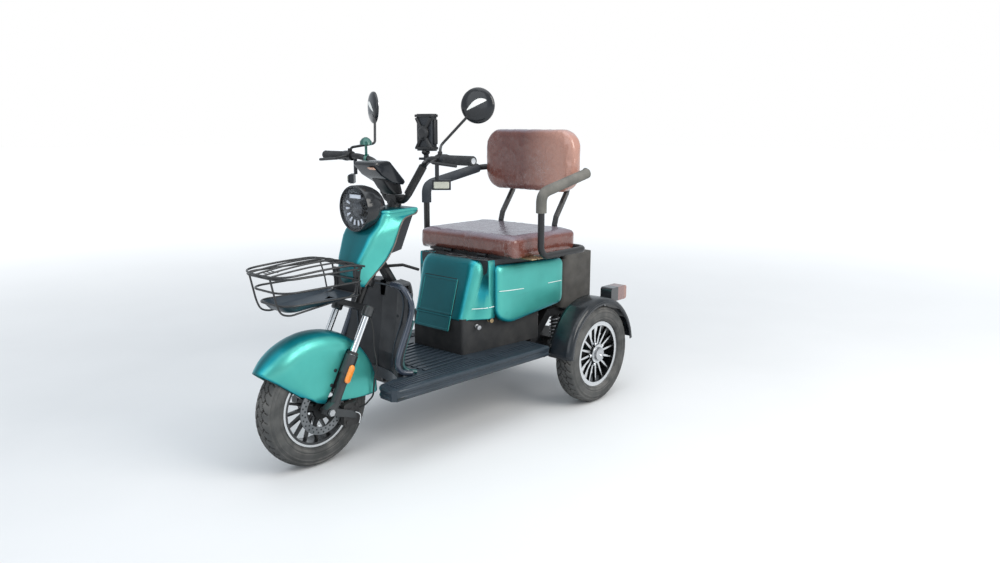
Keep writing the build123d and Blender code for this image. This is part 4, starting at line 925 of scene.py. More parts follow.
@dataclass
class RoadWheel(Assembly):
    """A tyre with a wavy block tread, its rim, lip rings and hub parts."""

    name: str = "front"
    centre: Point = (595.0, 0.0, 206.0)
    half_width: float = 42.0
    outer: float = 206.0
    tread_depth: float = 4.5
    pitches: int = 40
    steps: int = 480
    bright: bool = False

    def groove(self, turn: float, across: float) -> float:
        """How deep the tread is cut at a place.

        Args:
            turn: Angle round the tyre, in radians.
            across: Distance from the middle of the tread, in millimetres.

        Returns:
            0 on a block to 1 in a groove.
        """
        # a zigzag line on each side of the middle, slanted cuts outside it and short steps inside it
        phase = (turn * self.pitches / math.tau) % 1.0
        width = abs(across)
        wave = 3.6 * math.sin(turn * self.pitches)
        lines = abs(width - 13.0 - wave) / 1.7
        if width > 14:
            bow = 0.15 * math.sin((width - 14.0) * 0.12)
            slant = (phase + (width - 14.0) * 0.026 + bow) % 1.0
            lines = min(lines, abs(slant - 0.5) * 32.0 / 1.9)
        else:
            step = (phase + 0.25 + 0.2 * math.sin(across * 0.22)) % 1.0
            lines = min(lines, abs(step - 0.5) * 32.0 / 1.6 if width < 10 else 9.0)
        fade = max(0.0, min(1.0, (self.half_width - 4 - width) / 9.0))
        return fade * max(0.0, min(1.0, 1.7 - lines))

    def tyre(self) -> Piece:
        """Builds the tyre mesh.

        Returns:
            The tyre.
        """
        half = self.half_width
        crown = [(-half + 5, 17.0), (-half + 3.5, 13.0)]
        crown += [(half * (-0.86 + 1.72 * i / 26), 12.0 * abs(-0.86 + 1.72 * i / 26) ** 2.6) for i in range(27)]
        crown += [(half - 3.5, 13.0), (half - 5, 17.0)]
        wall = [
            (half - 2.0, 23.0), (half - 0.2, 25.0), (half - 0.2, 27.0), (half - 1.6, 29.0), (half - 0.6, 38.0),
            (half, 46.0)
        ]
        wall += [
            (half - 1.8, 48.0), (half - 1.8, 51.0), (half - 0.4, 53.0), (half - 1.6, 58.0), (half - 5.5, 61.5),
            (half - 5.5, 64.0)
        ]
        wall += [(27.5, 67.5), (27.5, 78.0)]
        rings = []
        for i in range(self.steps):
            turn = math.tau * i / self.steps
            ring = []
            for a, drop in crown + wall + [(-x, d) for x, d in reversed(wall)]:
                radius = self.outer - drop
                if drop < 13.5:
                    radius -= self.tread_depth * self.groove(turn, a)
                ring.append(Maker.on_wheel(self.centre, radius, turn, a))
            rings.append(ring)
        return Maker.skin(f"{self.name}_tyre_tread", rings, caps=False, loop=True)

    def build(self) -> None:
        """Makes the tyre, the lips and the hub dressing."""
        node = "front_{}" if self.name == "front" else f"rear_{{}}_{self.name}"
        tyre = self.add(self.tyre(), Palette.RUBBER, [node.format("tyre")], angle=38)
        # faces deep in the grooves take the darker rubber as painted shade
        tyre.data.materials.append(Palette.GROOVE_SHADE.material())
        for face in tyre.data.polygons:
            x, y, z = face.center / MM - Vector(self.centre)
            if math.hypot(x, z) > self.outer - 14 and self.groove(math.atan2(z, x) % math.tau, y) > 0.45:
                face.material_index = 1
        self.dress(node.format("rim"), Palette.BRIGHT_RIM if self.bright else Palette.DARK_RIM, 1.4)
        lip = [(31.2, 126.0), (31.7, 131.0), (31.7, 136.5), (30.0, 138.4), (28.5, 138.4), (28.5, 126.0)]
        for side in Side:
            ring = Maker.lathe(f"{self.name}_rim_lip_{side.tag}", side.turned(lip), self.centre, steps=96)
            self.add(ring, Palette.LIP)
        if self.bright:
            outside = Side.LEFT if self.centre[1] > 0 else Side.RIGHT
            cap = [(0, 0.1), (26, 0.1), (33, 8), (33, 20), (30, 27), (22, 29), (10, 30), (0, 30)]
            self.add(
                Maker.lathe(f"{self.name}_hub_cap", outside.turned(cap, 12), self.centre, steps=48), Palette.STEEL
            )
            nut = outside.turned([(0, 0.1), (12, 0.1), (14, 4), (12, 7), (0, 7)])
            nuts = []
            for k in range(5):
                spot = Maker.on_wheel(self.centre, 46, math.tau * k / 5, 16 * outside.value)
                nuts.append(Maker.lathe(f"nut_{k}", nut, spot, steps=6))
            self.add(Maker.join(f"{self.name}_wheel_nuts", nuts), Palette.CHROME)


@dataclass
class FrontBrake(Assembly):
    """Disc holes and the caliper on the left of the front hub."""

    centre: Point = (595.0, 53.0, 206.0)

    def build(self) -> None:
        """Dresses disc and caliper and adds two rings of dark discs, painted shade standing for holes."""
        self.body = Body.FRONT_WHEEL
        self.dress("brake_disc", Palette.DISC, 0.6)
        # dark discs on both faces stand for the holes: painted shade seen through them
        holes = []
        hole = [(-0.3, 0.1), (0.3, 0.1), (0.3, 3.2), (-0.3, 3.2)]
        for radius, start in ((80.0, 0.0), (70.0, 0.13)):
            for k in range(24):
                for face in (-2.3, 2.3):
                    spot = Maker.on_wheel(self.centre, radius, math.tau * k / 24 + start, face)
                    holes.append(Maker.lathe("hole", hole, spot, steps=10))
        self.add(Maker.join("disc_holes", holes), Palette.DARK_LINE)
        self.body = Body.FORK
        self.dress("brake_caliper", Palette.CAST_IRON, 6.0)
        self.dress("front_axle", Palette.STEEL, 0.6)
        self.dress("brake_hose", Palette.GRIP_RUBBER, 0)
        heads = []
        bolt = [(0, 0.1), (5, 0.1), (5.5, 3.5), (5, 6.5), (0, 6.5)]
        for x, z in ((472, 196), (512, 140)):
            heads.append(Maker.lathe("head", bolt, (x, 77.2, z), steps=6))
        boss = [(0, 0.1), (3, 0.1), (4.5, 9), (4.5, 14), (2.5, 18), (0, 18)]
        heads.append(Maker.lathe("piston", boss, (492, 77.2, 168), steps=28))
        self.add(Maker.join("caliper_bolts", heads), Palette.CAST_IRON)
        hook = [(466, 84, 128), (462, 90, 150), (470, 92, 170), (486, 90, 176)]
        self.add(Maker.tube("caliper_spring", hook, 2.2, sides=3), Palette.CHROME)
        rivets = []
        for k in range(5):
            spot = Maker.on_wheel(self.centre, 55, math.tau * k / 5, 2.0)
            rivets.append(Maker.lathe("rivet", [(0, 0.1), (2.6, 0.1), (2.2, 4), (0, 5)], spot, steps=12))
        self.add(Maker.join("disc_rivets", rivets), Palette.CHROME, body=Body.FRONT_WHEEL)


# Fork and steering


@dataclass
class Fork(Assembly):
    """Telescopic fork with its deep fender, reflectors, caps and bolts."""

    body: Body = Body.FORK
    fender_centre: tuple[float, float] = (600.0, 206.0)
    fender_half: float = 65.0
    fender_radius: float = 264.0
    slot_top: float = 398.0
    slot_trail: float = 16.0

    @staticmethod
    def axis_x(z: float) -> float:
        """X of the steering axis at a height."""
        return STEER_X - (z - AXLE_Z) * math.tan(RAKE)

    def leg_x(self, z: float) -> float:
        """X of the leg's middle line at a height."""
        return self.axis_x(z) + 18 / math.cos(RAKE)

    def skirt_reach(self, turn: float) -> float:
        """Radius of the fender's lower edge at an angle, the slot for the leg included.

        Args:
            turn: Angle from straight ahead, in radians.

        Returns:
            The radius in millimetres, or 0 where the ray meets no edge.
        """
        edge = (
            (820.0, 370.0), (760.0, 322.0), (680.0, 268.0), (620.0, 236.0), (591.0, 226.0), (535.0, 220.0),
            (440.0, 212.0), (338.0, 208.0)
        )
        cx, cz = self.fender_centre
        dx, dz = math.cos(turn), math.sin(turn)
        low = 0.0
        for (x0, z0), (x1, z1) in zip(edge, edge[1:]):
            ex, ez = x1 - x0, z1 - z0
            det = dx * (-ez) + dz * ex
            if abs(det) < 1e-9:
                continue
            px, pz = x0 - cx, z0 - cz
            reach = (px * (-ez) + pz * ex) / det
            share = (dx * pz - dz * px) / det
            if reach > 0 and -1e-6 <= share <= 1 + 1e-6:
                low = reach
                break
        if math.degrees(turn) < 119.0:
            return low
        for reach in range(int(low), 232):
            x, z = cx + reach * dx, cz + reach * dz
            if z < self.slot_top and self.leg_x(z) - self.slot_trail < x:
                low = max(low, float(reach))
        return low

    def fender(self) -> Piece:
        """Builds the deep fender as one thin shell.

        Returns:
            The fender.
        """
        half, top = self.fender_half, self.fender_radius
        shoulder = [
            (half, top - 66), (half, top - 54), (half - 2, top - 42), (half - 6, top - 31), (half - 13, top - 20),
            (half - 24, top - 11), (half - 40, top - 4), (half - 54, top - 1), (0.0, top)
        ]
        rings = []
        turns = [37.8 + (118.9 - 37.8) * i / 34 for i in range(35)]
        turns += [119.0 + (136.0 - 119.0) * i / 22 for i in range(23)]
        turns += [136.0 + (178.6 - 136.0) * i / 20 for i in range(1, 21)]
        for degrees in turns:
            turn = math.radians(degrees)
            start = min(self.skirt_reach(turn), top - 1.0)
            nose = max(0.0, 1.0 - (degrees - turns[0]) / 22)
            squeeze = 1.0 - 0.28 * nose**2.2
            profile = []
            for k in range(6):
                profile.append((half, start + (top - 66 - start) * k / 6) if start < top - 66 else (half, start))
            profile += shoulder
            fixed = []
            for y, r in profile:
                if r < start:
                    for (ya, ra), (yb, rb) in zip(shoulder, shoulder[1:]):
                        if ra <= start <= rb:
                            share = (start - ra) / max(rb - ra, 1e-6)
                            y = ya + (yb - ya) * share
                            break
                    r = start
                fixed.append((y * squeeze, r))
            ring = fixed + [(-y, r) for y, r in reversed(fixed[:-1])]
            cx, cz = self.fender_centre
            rings.append([(cx + r * math.cos(turn), y, cz + r * math.sin(turn)) for y, r in ring])
        piece = Maker.skin("front_fender_shell", rings, closed=False, caps=False)
        Maker.thicken(piece, 2.5)
        return piece

    def build(self) -> None:
        """Makes the fender and dresses the legs."""
        self.add(self.fender(), Palette.GREEN, ["front_fender"], "green_paint")
        self.dress("fork_lowers", Palette.FORK_GREY, 1.5)
        self.dress("fork_stanchions", Palette.CHROME, 0)
        self.dress("fork_crown", Palette.BLACK_METAL, 1.5)
        for side in Side:
            capsule = []
            for k in range(20):
                turn = math.tau * k / 20
                along = 12.0 * math.sin(turn) + (20.0 if math.sin(turn) > 0 else -20.0)
                capsule.append((11.5 * math.cos(turn), along))
            x0, z0 = self.leg_x(322) + 3.0, 322.0
            axis = (-math.sin(RAKE), math.cos(RAKE))
            rows = []
            for inset, out in ((1.5, 0.0), (0.0, 1.0), (0.0, 5.0), (1.2, 7.0), (3.5, 8.2), (6.5, 8.8)):
                ring = []
                for across, along in capsule:
                    a, b = across * (1 - inset / 11.5), along * (1 - inset / 32.0)
                    x, z = x0 + axis[0] * b + axis[1] * a, z0 + axis[1] * b - axis[0] * a
                    ring.append((x, side.value * (106.0 + out), z))
                rows.append(ring)
            self.add(Maker.skin(f"reflector_{side.tag}", rows), Palette.AMBER, side.once("fork_reflectors"))
        up = (-math.sin(RAKE), 0, math.cos(RAKE))
        levels = ((500, 16), (504, 20), (516, 20), (528, 20), (532, 16), (532, 12.5), (500, 12.5))
        cap = [((z - 500) / up[2], r) for z, r in levels]
        wiper = [(0, 12.6), (0, 19), (6, 19), (9, 16.5), (10, 12.6)]
        for side in Side:
            for name, z, profile, finish in (
                ("stanchion_cap", 500, cap, Palette.FORK_GREY),
                ("dust_wiper", 379, wiper, Palette.GRIP_RUBBER),
            ):
                base = (self.axis_x(z) + 20.3, side.value * 84, z)
                self.add(Maker.lathe(f"{name}_{side.tag}", profile, base, up, 36), finish)
        bolts = []
        bolt = [(0, 0.1), (1.6, 0.1), (1.6, 4.0), (0.8, 6.5), (0, 6.5)]
        for side in Side:
            for x, z in ((544, 332), (562, 284)):
                bolts.append(Maker.lathe("bolt", side.turned(bolt), (x, side.value * 65, z), steps=20))
        self.add(Maker.join("fender_bolts", bolts), Palette.DARK_LINE)


@dataclass
class Cockpit(Assembly):
    """Handlebar with its controls, mirrors, lamps and display."""

    body: Body = Body.FORK
    bar_radius: float = 11.0
    bar: tuple[Point, ...] = (
        (214, 395, 1031), (214, 202, 1031), (209, 182, 1028), (190, 149, 1019), (185, 132, 1009), (202, 66, 900),
        (205, 46, 880)
    )

    def whole_bar(self) -> list[Point]:
        """The bar's points from left to right."""
        return [*self.bar, *Side.RIGHT.put(reversed(self.bar))]

    def grips(self) -> None:
        """Makes the ribbed grips with pale end caps."""
        for side in Side:
            profile = [(0, 11.1), (0, 17.5), (3, 18), (5, 16.5)]
            for k in range(22):
                start = 6 + k * 5.2
                profile += [(start, 15.3), (start + 1.2, 16.2), (start + 3.6, 16.2), (start + 4.6, 15.3)]
            profile += [(120, 16.5), (124, 15), (124, 11.1)]
            grip = Maker.lathe(f"grip_{side.tag}", side.turned(profile, 273), (BAR_X, 0, BAR_Z), steps=40)
            self.add(grip, Palette.GRIP_RUBBER, side.once("grips"))
            cap = side.turned([(394, 0.1), (397.5, 0.1), (397.8, 5), (397, 10), (394, 11)])
            self.add(Maker.lathe(f"bar_end_{side.tag}", cap, (BAR_X, 0, BAR_Z), steps=28), Palette.LIP)

    def mirrors(self) -> None:
        """Makes the domed mirror heads, their stems and a leaf inlay."""
        for side in Side:
            turn = math.radians(24)
            back = Vector((math.cos(turn), side.value * math.sin(turn), 0))
            middle = Vector((70, side.value * 279, 1211))
            dome = [(-9, 0.1), (-8.8, 57), (-8, 60.5), (-4, 61), (0, 60), (4.5, 54), (7.8, 42), (9.6, 22), (10, 0.1)]
            head = Maker.lathe(f"mirror_head_{side.tag}", dome, tuple(middle), tuple(back), 56)
            self.add(head, Palette.BLACK_GLOSS, side.once("mirrors"))
            glass = Maker.lathe(
                f"mirror_face_{side.tag}", [(-10, 0.1), (-9.0, 0.1), (-9.0, 55), (-10, 55)], tuple(middle),
                tuple(back), 48
            )
            self.add(glass, Palette.MIRROR, side.once("mirror_glass"))
            across = Vector((-back.y, back.x, 0)) * side.value
            rings = []
            for k in range(17):
                t = k / 16
                flat = across * (-37 + 74 * t) + Vector((0, 0, -16 + 34 * t + 9 * math.sin(math.pi * t)))
                width = 10.5 * math.sin(math.pi * min(0.985, max(0.015, t))) ** 0.8
                rows = []
                for shift in (width, 0.3 * width, -0.45 * width, -width):
                    spot = flat + Vector((0, 0, shift))
                    lift = 10.6 - 4.8 * (spot.length / 50) ** 2.6
                    rows.append(tuple(middle + spot + back * lift))
                rows.append(tuple(middle + flat + back * 2.0))
                rings.append(rows)
            self.add(Maker.skin(f"mirror_leaf_{side.tag}", rings), Palette.INLAY)
            points = side.put([
                (BAR_X, 242, 1042), (211, 240, 1062), (146, 178, 1077), (82, 252, 1181), (74, 270, 1202)
            ])
            stem = Maker.tube(f"mirror_stem_{side.tag}", Maker.rounded(points, 14), 4.8, smooth=False)
            self.add(stem, Palette.BLACK_METAL)
            foot = [(0, 0.1), (0, 9), (10, 9), (12, 7), (12, 0.1)]
            self.add(
                Maker.lathe(f"mirror_foot_{side.tag}", foot, (BAR_X, side.value * 242, 1047), (0, 0, 1), 6),
                Palette.BLACK_METAL
            )
            nut = [(0, 0.1), (0, 8), (9, 8), (10, 0.1)]
            self.add(
                Maker.lathe(
                    f"mirror_nut_{side.tag}", nut, (84, side.value * 250, 1178), (-0.09, side.value * 0.57, 0.81), 6
                ),
                Palette.BLACK_METAL
            )

    def wraps(self) -> None:
        """Makes the coiled cable wraps on both risers."""
        for side in Side:
            low = Vector((202, side.value * 64, 904))
            high = Vector((186, side.value * 130, 1006))
            length = (high - low).length
            profile = [(0, 11.1), (0, 14)]
            count = int(length / 5)
            for k in range(count):
                profile += [(k * 5 + 0.6, 13.2), (k * 5 + 1.6, 14.6), (k * 5 + 3.4, 14.6), (k * 5 + 4.4, 13.2)]
            profile += [(count * 5 + 1, 13), (count * 5 + 1, 11.1)]
            self.add(
                Maker.lathe(f"riser_wrap_{side.tag}", profile, tuple(low), tuple(high - low), 28), Palette.BLACK_METAL
            )

    def display(self) -> None:
        """Makes the wedge display with its face, lamp and strut."""
        outline = [
            (346, 1009), (342, 1018), (334, 1021.5), (284, 1023.5), (274, 1021), (207, 952), (204, 945), (212, 937),
            (262, 946), (312, 974)
        ]
        middle = Vector((278, 0, 984))
        rows = []
        for across, inset in (
            (-58, 0.86), (-56.5, 0.94), (-53, 0.985), (-47, 1.0), (47, 1.0), (53, 0.985), (56.5, 0.94), (58, 0.86)
        ):
            rows.append([
                (middle.x + (x - middle.x) * inset, float(across), middle.z + (z - middle.z) * inset) for x,
                z in outline
            ])
        case = Maker.skin("display_case", rows)
        Maker.soften_edges(case, 3, 3, 25)
        self.add(case, Palette.BLACK_GLOSS, ["instrument_pod"])
        strut = [(196, 902), (208, 944), (290, 962), (262, 924), (236, 902)]
        neck = Maker.slab("display_neck", [(x, -34, z) for x, z in strut], (0, 68, 0), 7, 4)
        self.add(neck, Palette.BLACK_METAL)
        face = [(219, -46, 966.5), (219, 46, 966.5), (270, 46, 1018.5), (270, -46, 1018.5)]
        self.add(Maker.slab("display_glass", face, (-1.2, 0, 1.2), 0.6, 2), Palette.DISPLAY)
        patch = [(344.5, 20, 1002), (344.5, 52, 1002), (336, 52, 995), (336, 20, 995)]
        self.add(Maker.slab("display_lamp", patch, (1.6, 0, -1.6), 0.5, 2), Palette.PEACH)

    def lamps(self) -> None:
        """Makes the turn lamps' lens pieces."""
        self.dress("signal_housings", Palette.DARK_PLASTIC, 5.0)
        for side in Side:
            face = Vector((math.cos(math.radians(45)), side.value * math.sin(math.radians(45)), 0))
            across = Vector((-face.y, face.x, 0))
            middle = Vector((213, side.value * 246, 946))
            for name, finish, half, tall, low, high, bevel in (
                ("signal_bezel", Palette.DARK_PLASTIC, 30, 15, 0.2, 6.0, 3.0),
                ("signal_lens", Palette.WHITE_LENS, 26, 11.5, 2.0, 9.6, 4.0),
            ):
                base = middle + face * low
                corners = [
                    base + across * a * half + Vector((0, 0, b * tall)) for a,
                    b in ((1, 1), (-1, 1), (-1, -1), (1, -1))
                ]
                plate = Maker.slab(
                    f"{name}_{side.tag}", [tuple(c) for c in corners], tuple(face * (high - low)), bevel, 4
                )
                self.add(plate, finish, ["signal_lenses"] if (name, side) == ("signal_lens", Side.LEFT) else ())

    def controls(self) -> None:
        """Dresses levers and clamp and adds the switch cases."""
        self.dress("brake_levers", Palette.BLACK_METAL, 0.8)
        self.dress("bar_clamp", Palette.BLACK_METAL, 2.0)
        self.dress("bell", Palette.BELL, 1.0)
        self.dress("phone_holder", Palette.DARK_PLASTIC, 3.0)
        for side in Side:
            case = side.turned([(0, 11.2), (0, 17), (2.25, 19), (15, 19), (17.25, 17), (17.25, 11.2)])
            spot = (BAR_X, side.value * 255, BAR_Z)
            self.add(Maker.lathe(f"switch_case_{side.tag}", case, spot, steps=28), Palette.DARK_PLASTIC)
            disc = [(0, 0.1), (5, 0.1), (5, 8), (3.5, 9.5), (0, 9.5)]
            self.add(
                Maker.lathe(f"switch_button_{side.tag}", disc, (198, side.value * 262, 1040), (-0.8, 0, 0.6), 20),
                Palette.LIP
            )
        self.mount()

    def mount(self) -> None:
        """Makes the jaws, crossed arms and ball joint of the phone mount."""
        jaws = [Maker.tile("jaw", (158, 190), (91, 177), z, 9) for z in (1062, 1172)]
        jaws += [Maker.tile("arm", (160, 176), (y - 5, y + 5), 1080, 84) for y in (96, 172)]
        for low, high in ((98, 170), (170, 98)):
            points = [(186, low, 1068), (188, (low + high) / 2, 1118), (186, high, 1168)]
            jaws.append(Maker.tube("cross", points, 6.5, smooth=False, sides=3))
        jaws.append(Maker.lathe(
            "knob", [(0, 0.1), (0, 24), (4, 26), (9, 25), (11, 18), (13, 16), (14, 0.1)], (184, 134, 1118), (1, 0, 0),
            36
        ))
        jaws.append(Maker.lathe(
            "ball", [(0, 9), (3, 13), (8, 15), (13, 13), (16, 9), (16, 0.1), (0, 0.1)], (178, 134, 1044), (0, 0, 1),
            28
        ))
        self.add(Maker.join("phone_jaws", jaws), Palette.BLACK_METAL)

    def build(self) -> None:
        """Makes the whole cockpit."""
        bar = Maker.tube(
            "handlebar_tube", Maker.rounded(self.whole_bar(), 24, 6), self.bar_radius, smooth=False, sides=7
        )
        self.add(bar, Palette.BLACK_METAL, ["handlebar"])
        self.grips()
        self.mirrors()
        self.wraps()
        self.display()
        self.lamps()
        self.controls()


# Front body


@dataclass
class FrontBody(Assembly):
    """Fairing, headlight and leg shield."""

    fairing_rows: tuple[tuple[float, float, float, float, float], ...] = (
        # z, front x, front half width, rear x, rear half width
        (592, 424, 38, 396, 48),
        (597, 430, 42, 395, 53),
        (612, 435, 48, 391, 61),
        (633, 436, 56, 373, 70),
        (660, 435, 63, 344, 77),
        (690, 427, 72, 318, 86),
        (737, 404, 83, 296, 98),
        (765, 391, 88, 289, 103),
        (782, 379, 90, 284, 106),
        (795, 366, 90, 279, 107),
        (808, 353, 90, 272, 107),
        (820, 345, 89, 262, 105),
        (828, 341, 89, 244, 99),
        (832, 339, 89, 205, 87),
        (835, 337, 90, 168, 74),
        (846, 335, 90, 165, 73),
    )
    lamp: Point = (395.0, 0.0, 862.0)

    @staticmethod
    def half_plan(front: float, half: float, rear: float, rear_half: float) -> list[tuple[float, float]]:
        """One side of the fairing seen from above, from its rear edge to the middle.

        Args:
            front: X of the front.
            half: Half width at the front.
            rear: X of the rear edge.
            rear_half: Half width at the rear edge.

        Returns:
            Points as X and Y.
        """
        corner = min(30.0, half * 0.45, (front - rear) * 0.5)
        start_x = front - corner
        points = [
            (rear + (start_x - rear) * t, rear_half + (half - rear_half) * t) for t in (0, 0.2, 0.45, 0.7, 0.9, 1.0)
        ]
        for k in range(1, 6):
            turn = math.pi / 2 * k / 5
            points.append((start_x + corner * math.sin(turn), half - corner + corner * math.cos(turn)))
        points += [(front + 1.5, (half - corner) * 0.5), (front + 2.0, 0.0)]
        return points

    def fairing(self) -> None:
        """Makes the painted fairing with its ledge, lining and edge strips."""
        rings = []
        for z, front, half, rear, rear_half in self.fairing_rows:
            side = self.half_plan(front, half, rear, rear_half)
            rings.append(Maker.level_ring(side, z))
        piece = Maker.skin("fairing_shell", rings, closed=False, caps=False)
        Maker.thicken(piece, 3.0)
        self.add(piece, Palette.GREEN, ["front_fairing"], "green_paint", angle=60)
        top = []
        for z, grow in ((844, -1), (849, 1.2), (853, 0.4), (856, -2.5), (857, -7)):
            side = self.half_plan(335 + grow, 90 + grow, 165 - grow, 72 + grow)
            top.append(Maker.level_ring(side, z))
        self.add(Maker.skin("fairing_ledge", top), Palette.GREEN, angle=50)
        back = []
        for z, _, _, rear, rear_half in self.fairing_rows[:12]:
            half = rear_half - 3.5
            back.append([(rear + 5 + 8 * (1 - (k / 4 - 1) ** 2), half * (k / 4 - 1), z) for k in range(9)])
        lining = Maker.skin("fairing_back", back, closed=False, caps=False)
        Maker.thicken(lining, 2.0)
        self.add(lining, Palette.DARK_PLASTIC, angle=50)
        for side in Side:
            edge = [
                (rear + 0.6, side.value * (rear_half - 0.5), z) for z, _, _, rear, rear_half in self.fairing_rows[1:]
            ]
            self.add(Maker.tube(f"fairing_edge_{side.tag}", edge, 2.6, sides=3), Palette.EDGE)

    def headlight(self) -> None:
        """Makes the can, its glass, reflector, light bar and segments."""
        x, _, z = self.lamp
        can = [
            (-114, 0.1), (-113, 22), (-108, 38), (-98, 52), (-84, 64), (-66, 73), (-46, 78.5), (-36, 80), (-4, 80),
            (0, 78.5), (0.5, 76), (-1, 74), (-22, 70), (-24, 0.1)
        ]
        self.add(
            Maker.lathe("headlight_can", can, self.lamp, (1, 0, 0), 80), Palette.BLACK_GLOSS,
            ["headlight_housing", "headlight_lens"]
        )
        dish = [
            (-23.5, 0.1), (-22.0, 30), (-20, 34), (-20, 56), (-17, 60), (-12, 71), (-9, 73), (-24, 73), (-24, 0.1)
        ]
        self.add(Maker.lathe("headlight_dish", dish, self.lamp, (1, 0, 0), 64), Palette.LAMP_DARK)
        glass = [
            (-5, 74.5), (-2.5, 73), (-1.0, 55), (0.4, 25), (0.8, 0.1), (0.2, 0.1), (-0.2, 25), (-1.6, 55), (-4.5, 73)
        ]
        self.add(Maker.lathe("headlight_glass", glass, self.lamp, (1, 0, 0), 64), Palette.CLEAR)
        bar = Maker.slab(
            "light_bar", [(x - 16, -36, z + 34), (x - 16, 24, z + 34), (x - 16, 24, z + 48), (x - 16, -36, z + 48)],
            (4, 0, 0), 2
        )
        self.add(bar, Palette.LAMP_WHITE)
        segments = []
        for k in range(7):
            turn = math.radians(158 + k * 24)
            out = Vector((0, math.cos(turn), math.sin(turn)))
            across = Vector((0, -out.z, out.y))
            near, far = Vector((x - 17, 0, z)) + out * 41, Vector((x - 17, 0, z)) + out * 60
            outline = [
                tuple(near + across * 3), tuple(near - across * 3), tuple(far - across * 4.5),
                tuple(far + across * 4.5)
            ]
            segments.append(Maker.slab("segment", outline, (4, 0, 0), 1))
        self.add(Maker.join("light_segments", segments), Palette.LAMP_WHITE)
        lens = [(-20, 0.1), (-20, 27), (-8, 27), (-6, 24), (-4.5, 14), (-4, 0.1)]
        self.add(Maker.lathe("projector_lens", lens, (x, 8, z - 2), (1, 0, 0), 40), Palette.LAMP_DARK)

    @staticmethod
    def shield_x(y: float, z: float) -> float:
        """X of the leg shield's front face.

        Args:
            y: Distance from the middle.
            z: Height.

        Returns:
            The X in millimetres.
        """
        rows = (
            (281.0, 352.0, 304.0, 160.0), (345.0, 348.0, 300.0, 160.0), (456.0, 304.0, 284.0, 158.0),
            (592.0, 288.0, 270.0, 150.0)
        )
        for (za, sa, ma, ha), (zb, sb, mb, hb) in zip(rows, rows[1:]):
            if z <= zb:
                t = (z - za) / (zb - za)
                side, mid, half = sa + (sb - sa) * t, ma + (mb - ma) * t, ha + (hb - ha) * t
                share = min(1.0, abs(y) / half)
                knee, rise = 0.55, 0.3025
                bow = rise * share / knee if share < knee else rise + (1 - rise) * (share - knee) / (1 - knee)
                return mid + (side - mid) * bow
        return 288.0

    def shield(self) -> None:
        """Dresses the leg shield and lays its raised border, side rims, inner trim and plugs."""
        self.dress("leg_shield", Palette.DARK_PLASTIC, 2.0, 25)
        self.dress("fairing_liner", Palette.DARK_PLASTIC, 2.0)
        self.dress("basket_bracket", Palette.BLACK_METAL, 1.0)
        half = [(-97.0, 300.0), (-98.0, 355.0), (-103.0, 391.0), (-114.0, 434.0), (-124.0, 473.0), (-130.0, 507.0)]
        half += [(-129.0, 536.0), (-117.0, 562.0), (-94.0, 575.0), (-50.0, 580.0), (0.0, 581.0)]
        arch = half + [(-y, z) for y, z in reversed(half[:-1])]
        border = [(self.shield_x(y, z) + 0.6, y, z) for y, z in arch]
        self.add(Maker.tube("shield_border", border, 3.2, sides=3), Palette.FLOOR_PLASTIC)
        for side in Side:
            rim = [
                (291, 70, 591), (292, 100, 592), (288, 131, 582), (283, 150, 556), (279, 158, 530), (280, 160, 505),
                (294, 160, 466)
            ]
            rim += [
                (314, 160, 423), (336, 160, 378), (349, 160, 345), (352, 161, 322), (345, 164, 304), (330, 169, 294),
                (300, 176, 289)
            ]
            self.add(Maker.tube(f"shield_rim_{side.tag}", side.put(rim), 10.5, sides=6), Palette.RIM_BLUE)
            inner = [
                (268, 151, 470), (286, 151, 425), (308, 151, 382), (321, 152, 345), (324, 154, 322), (316, 158, 303),
                (300, 166, 293), (276, 173, 288)
            ]
            self.add(Maker.tube(f"shield_teal_{side.tag}", side.put(inner), 7.5, sides=4), Palette.TEAL_TRIM)
        plug = [(-1, 0.1), (1.2, 0.1), (1.2, 5), (-1, 5)]
        spots = [(self.shield_x(y, 480) + 0.5, y, 480) for y in (-95, 95)]
        plugs = [Maker.lathe("plug", plug, spot, (1, 0, 0.2), 20) for spot in spots]
        self.add(Maker.join("shield_plugs", plugs), Palette.DARK_LINE)

    def build(self) -> None:
        """Makes the front body."""
        self.fairing()
        self.headlight()
        self.shield()


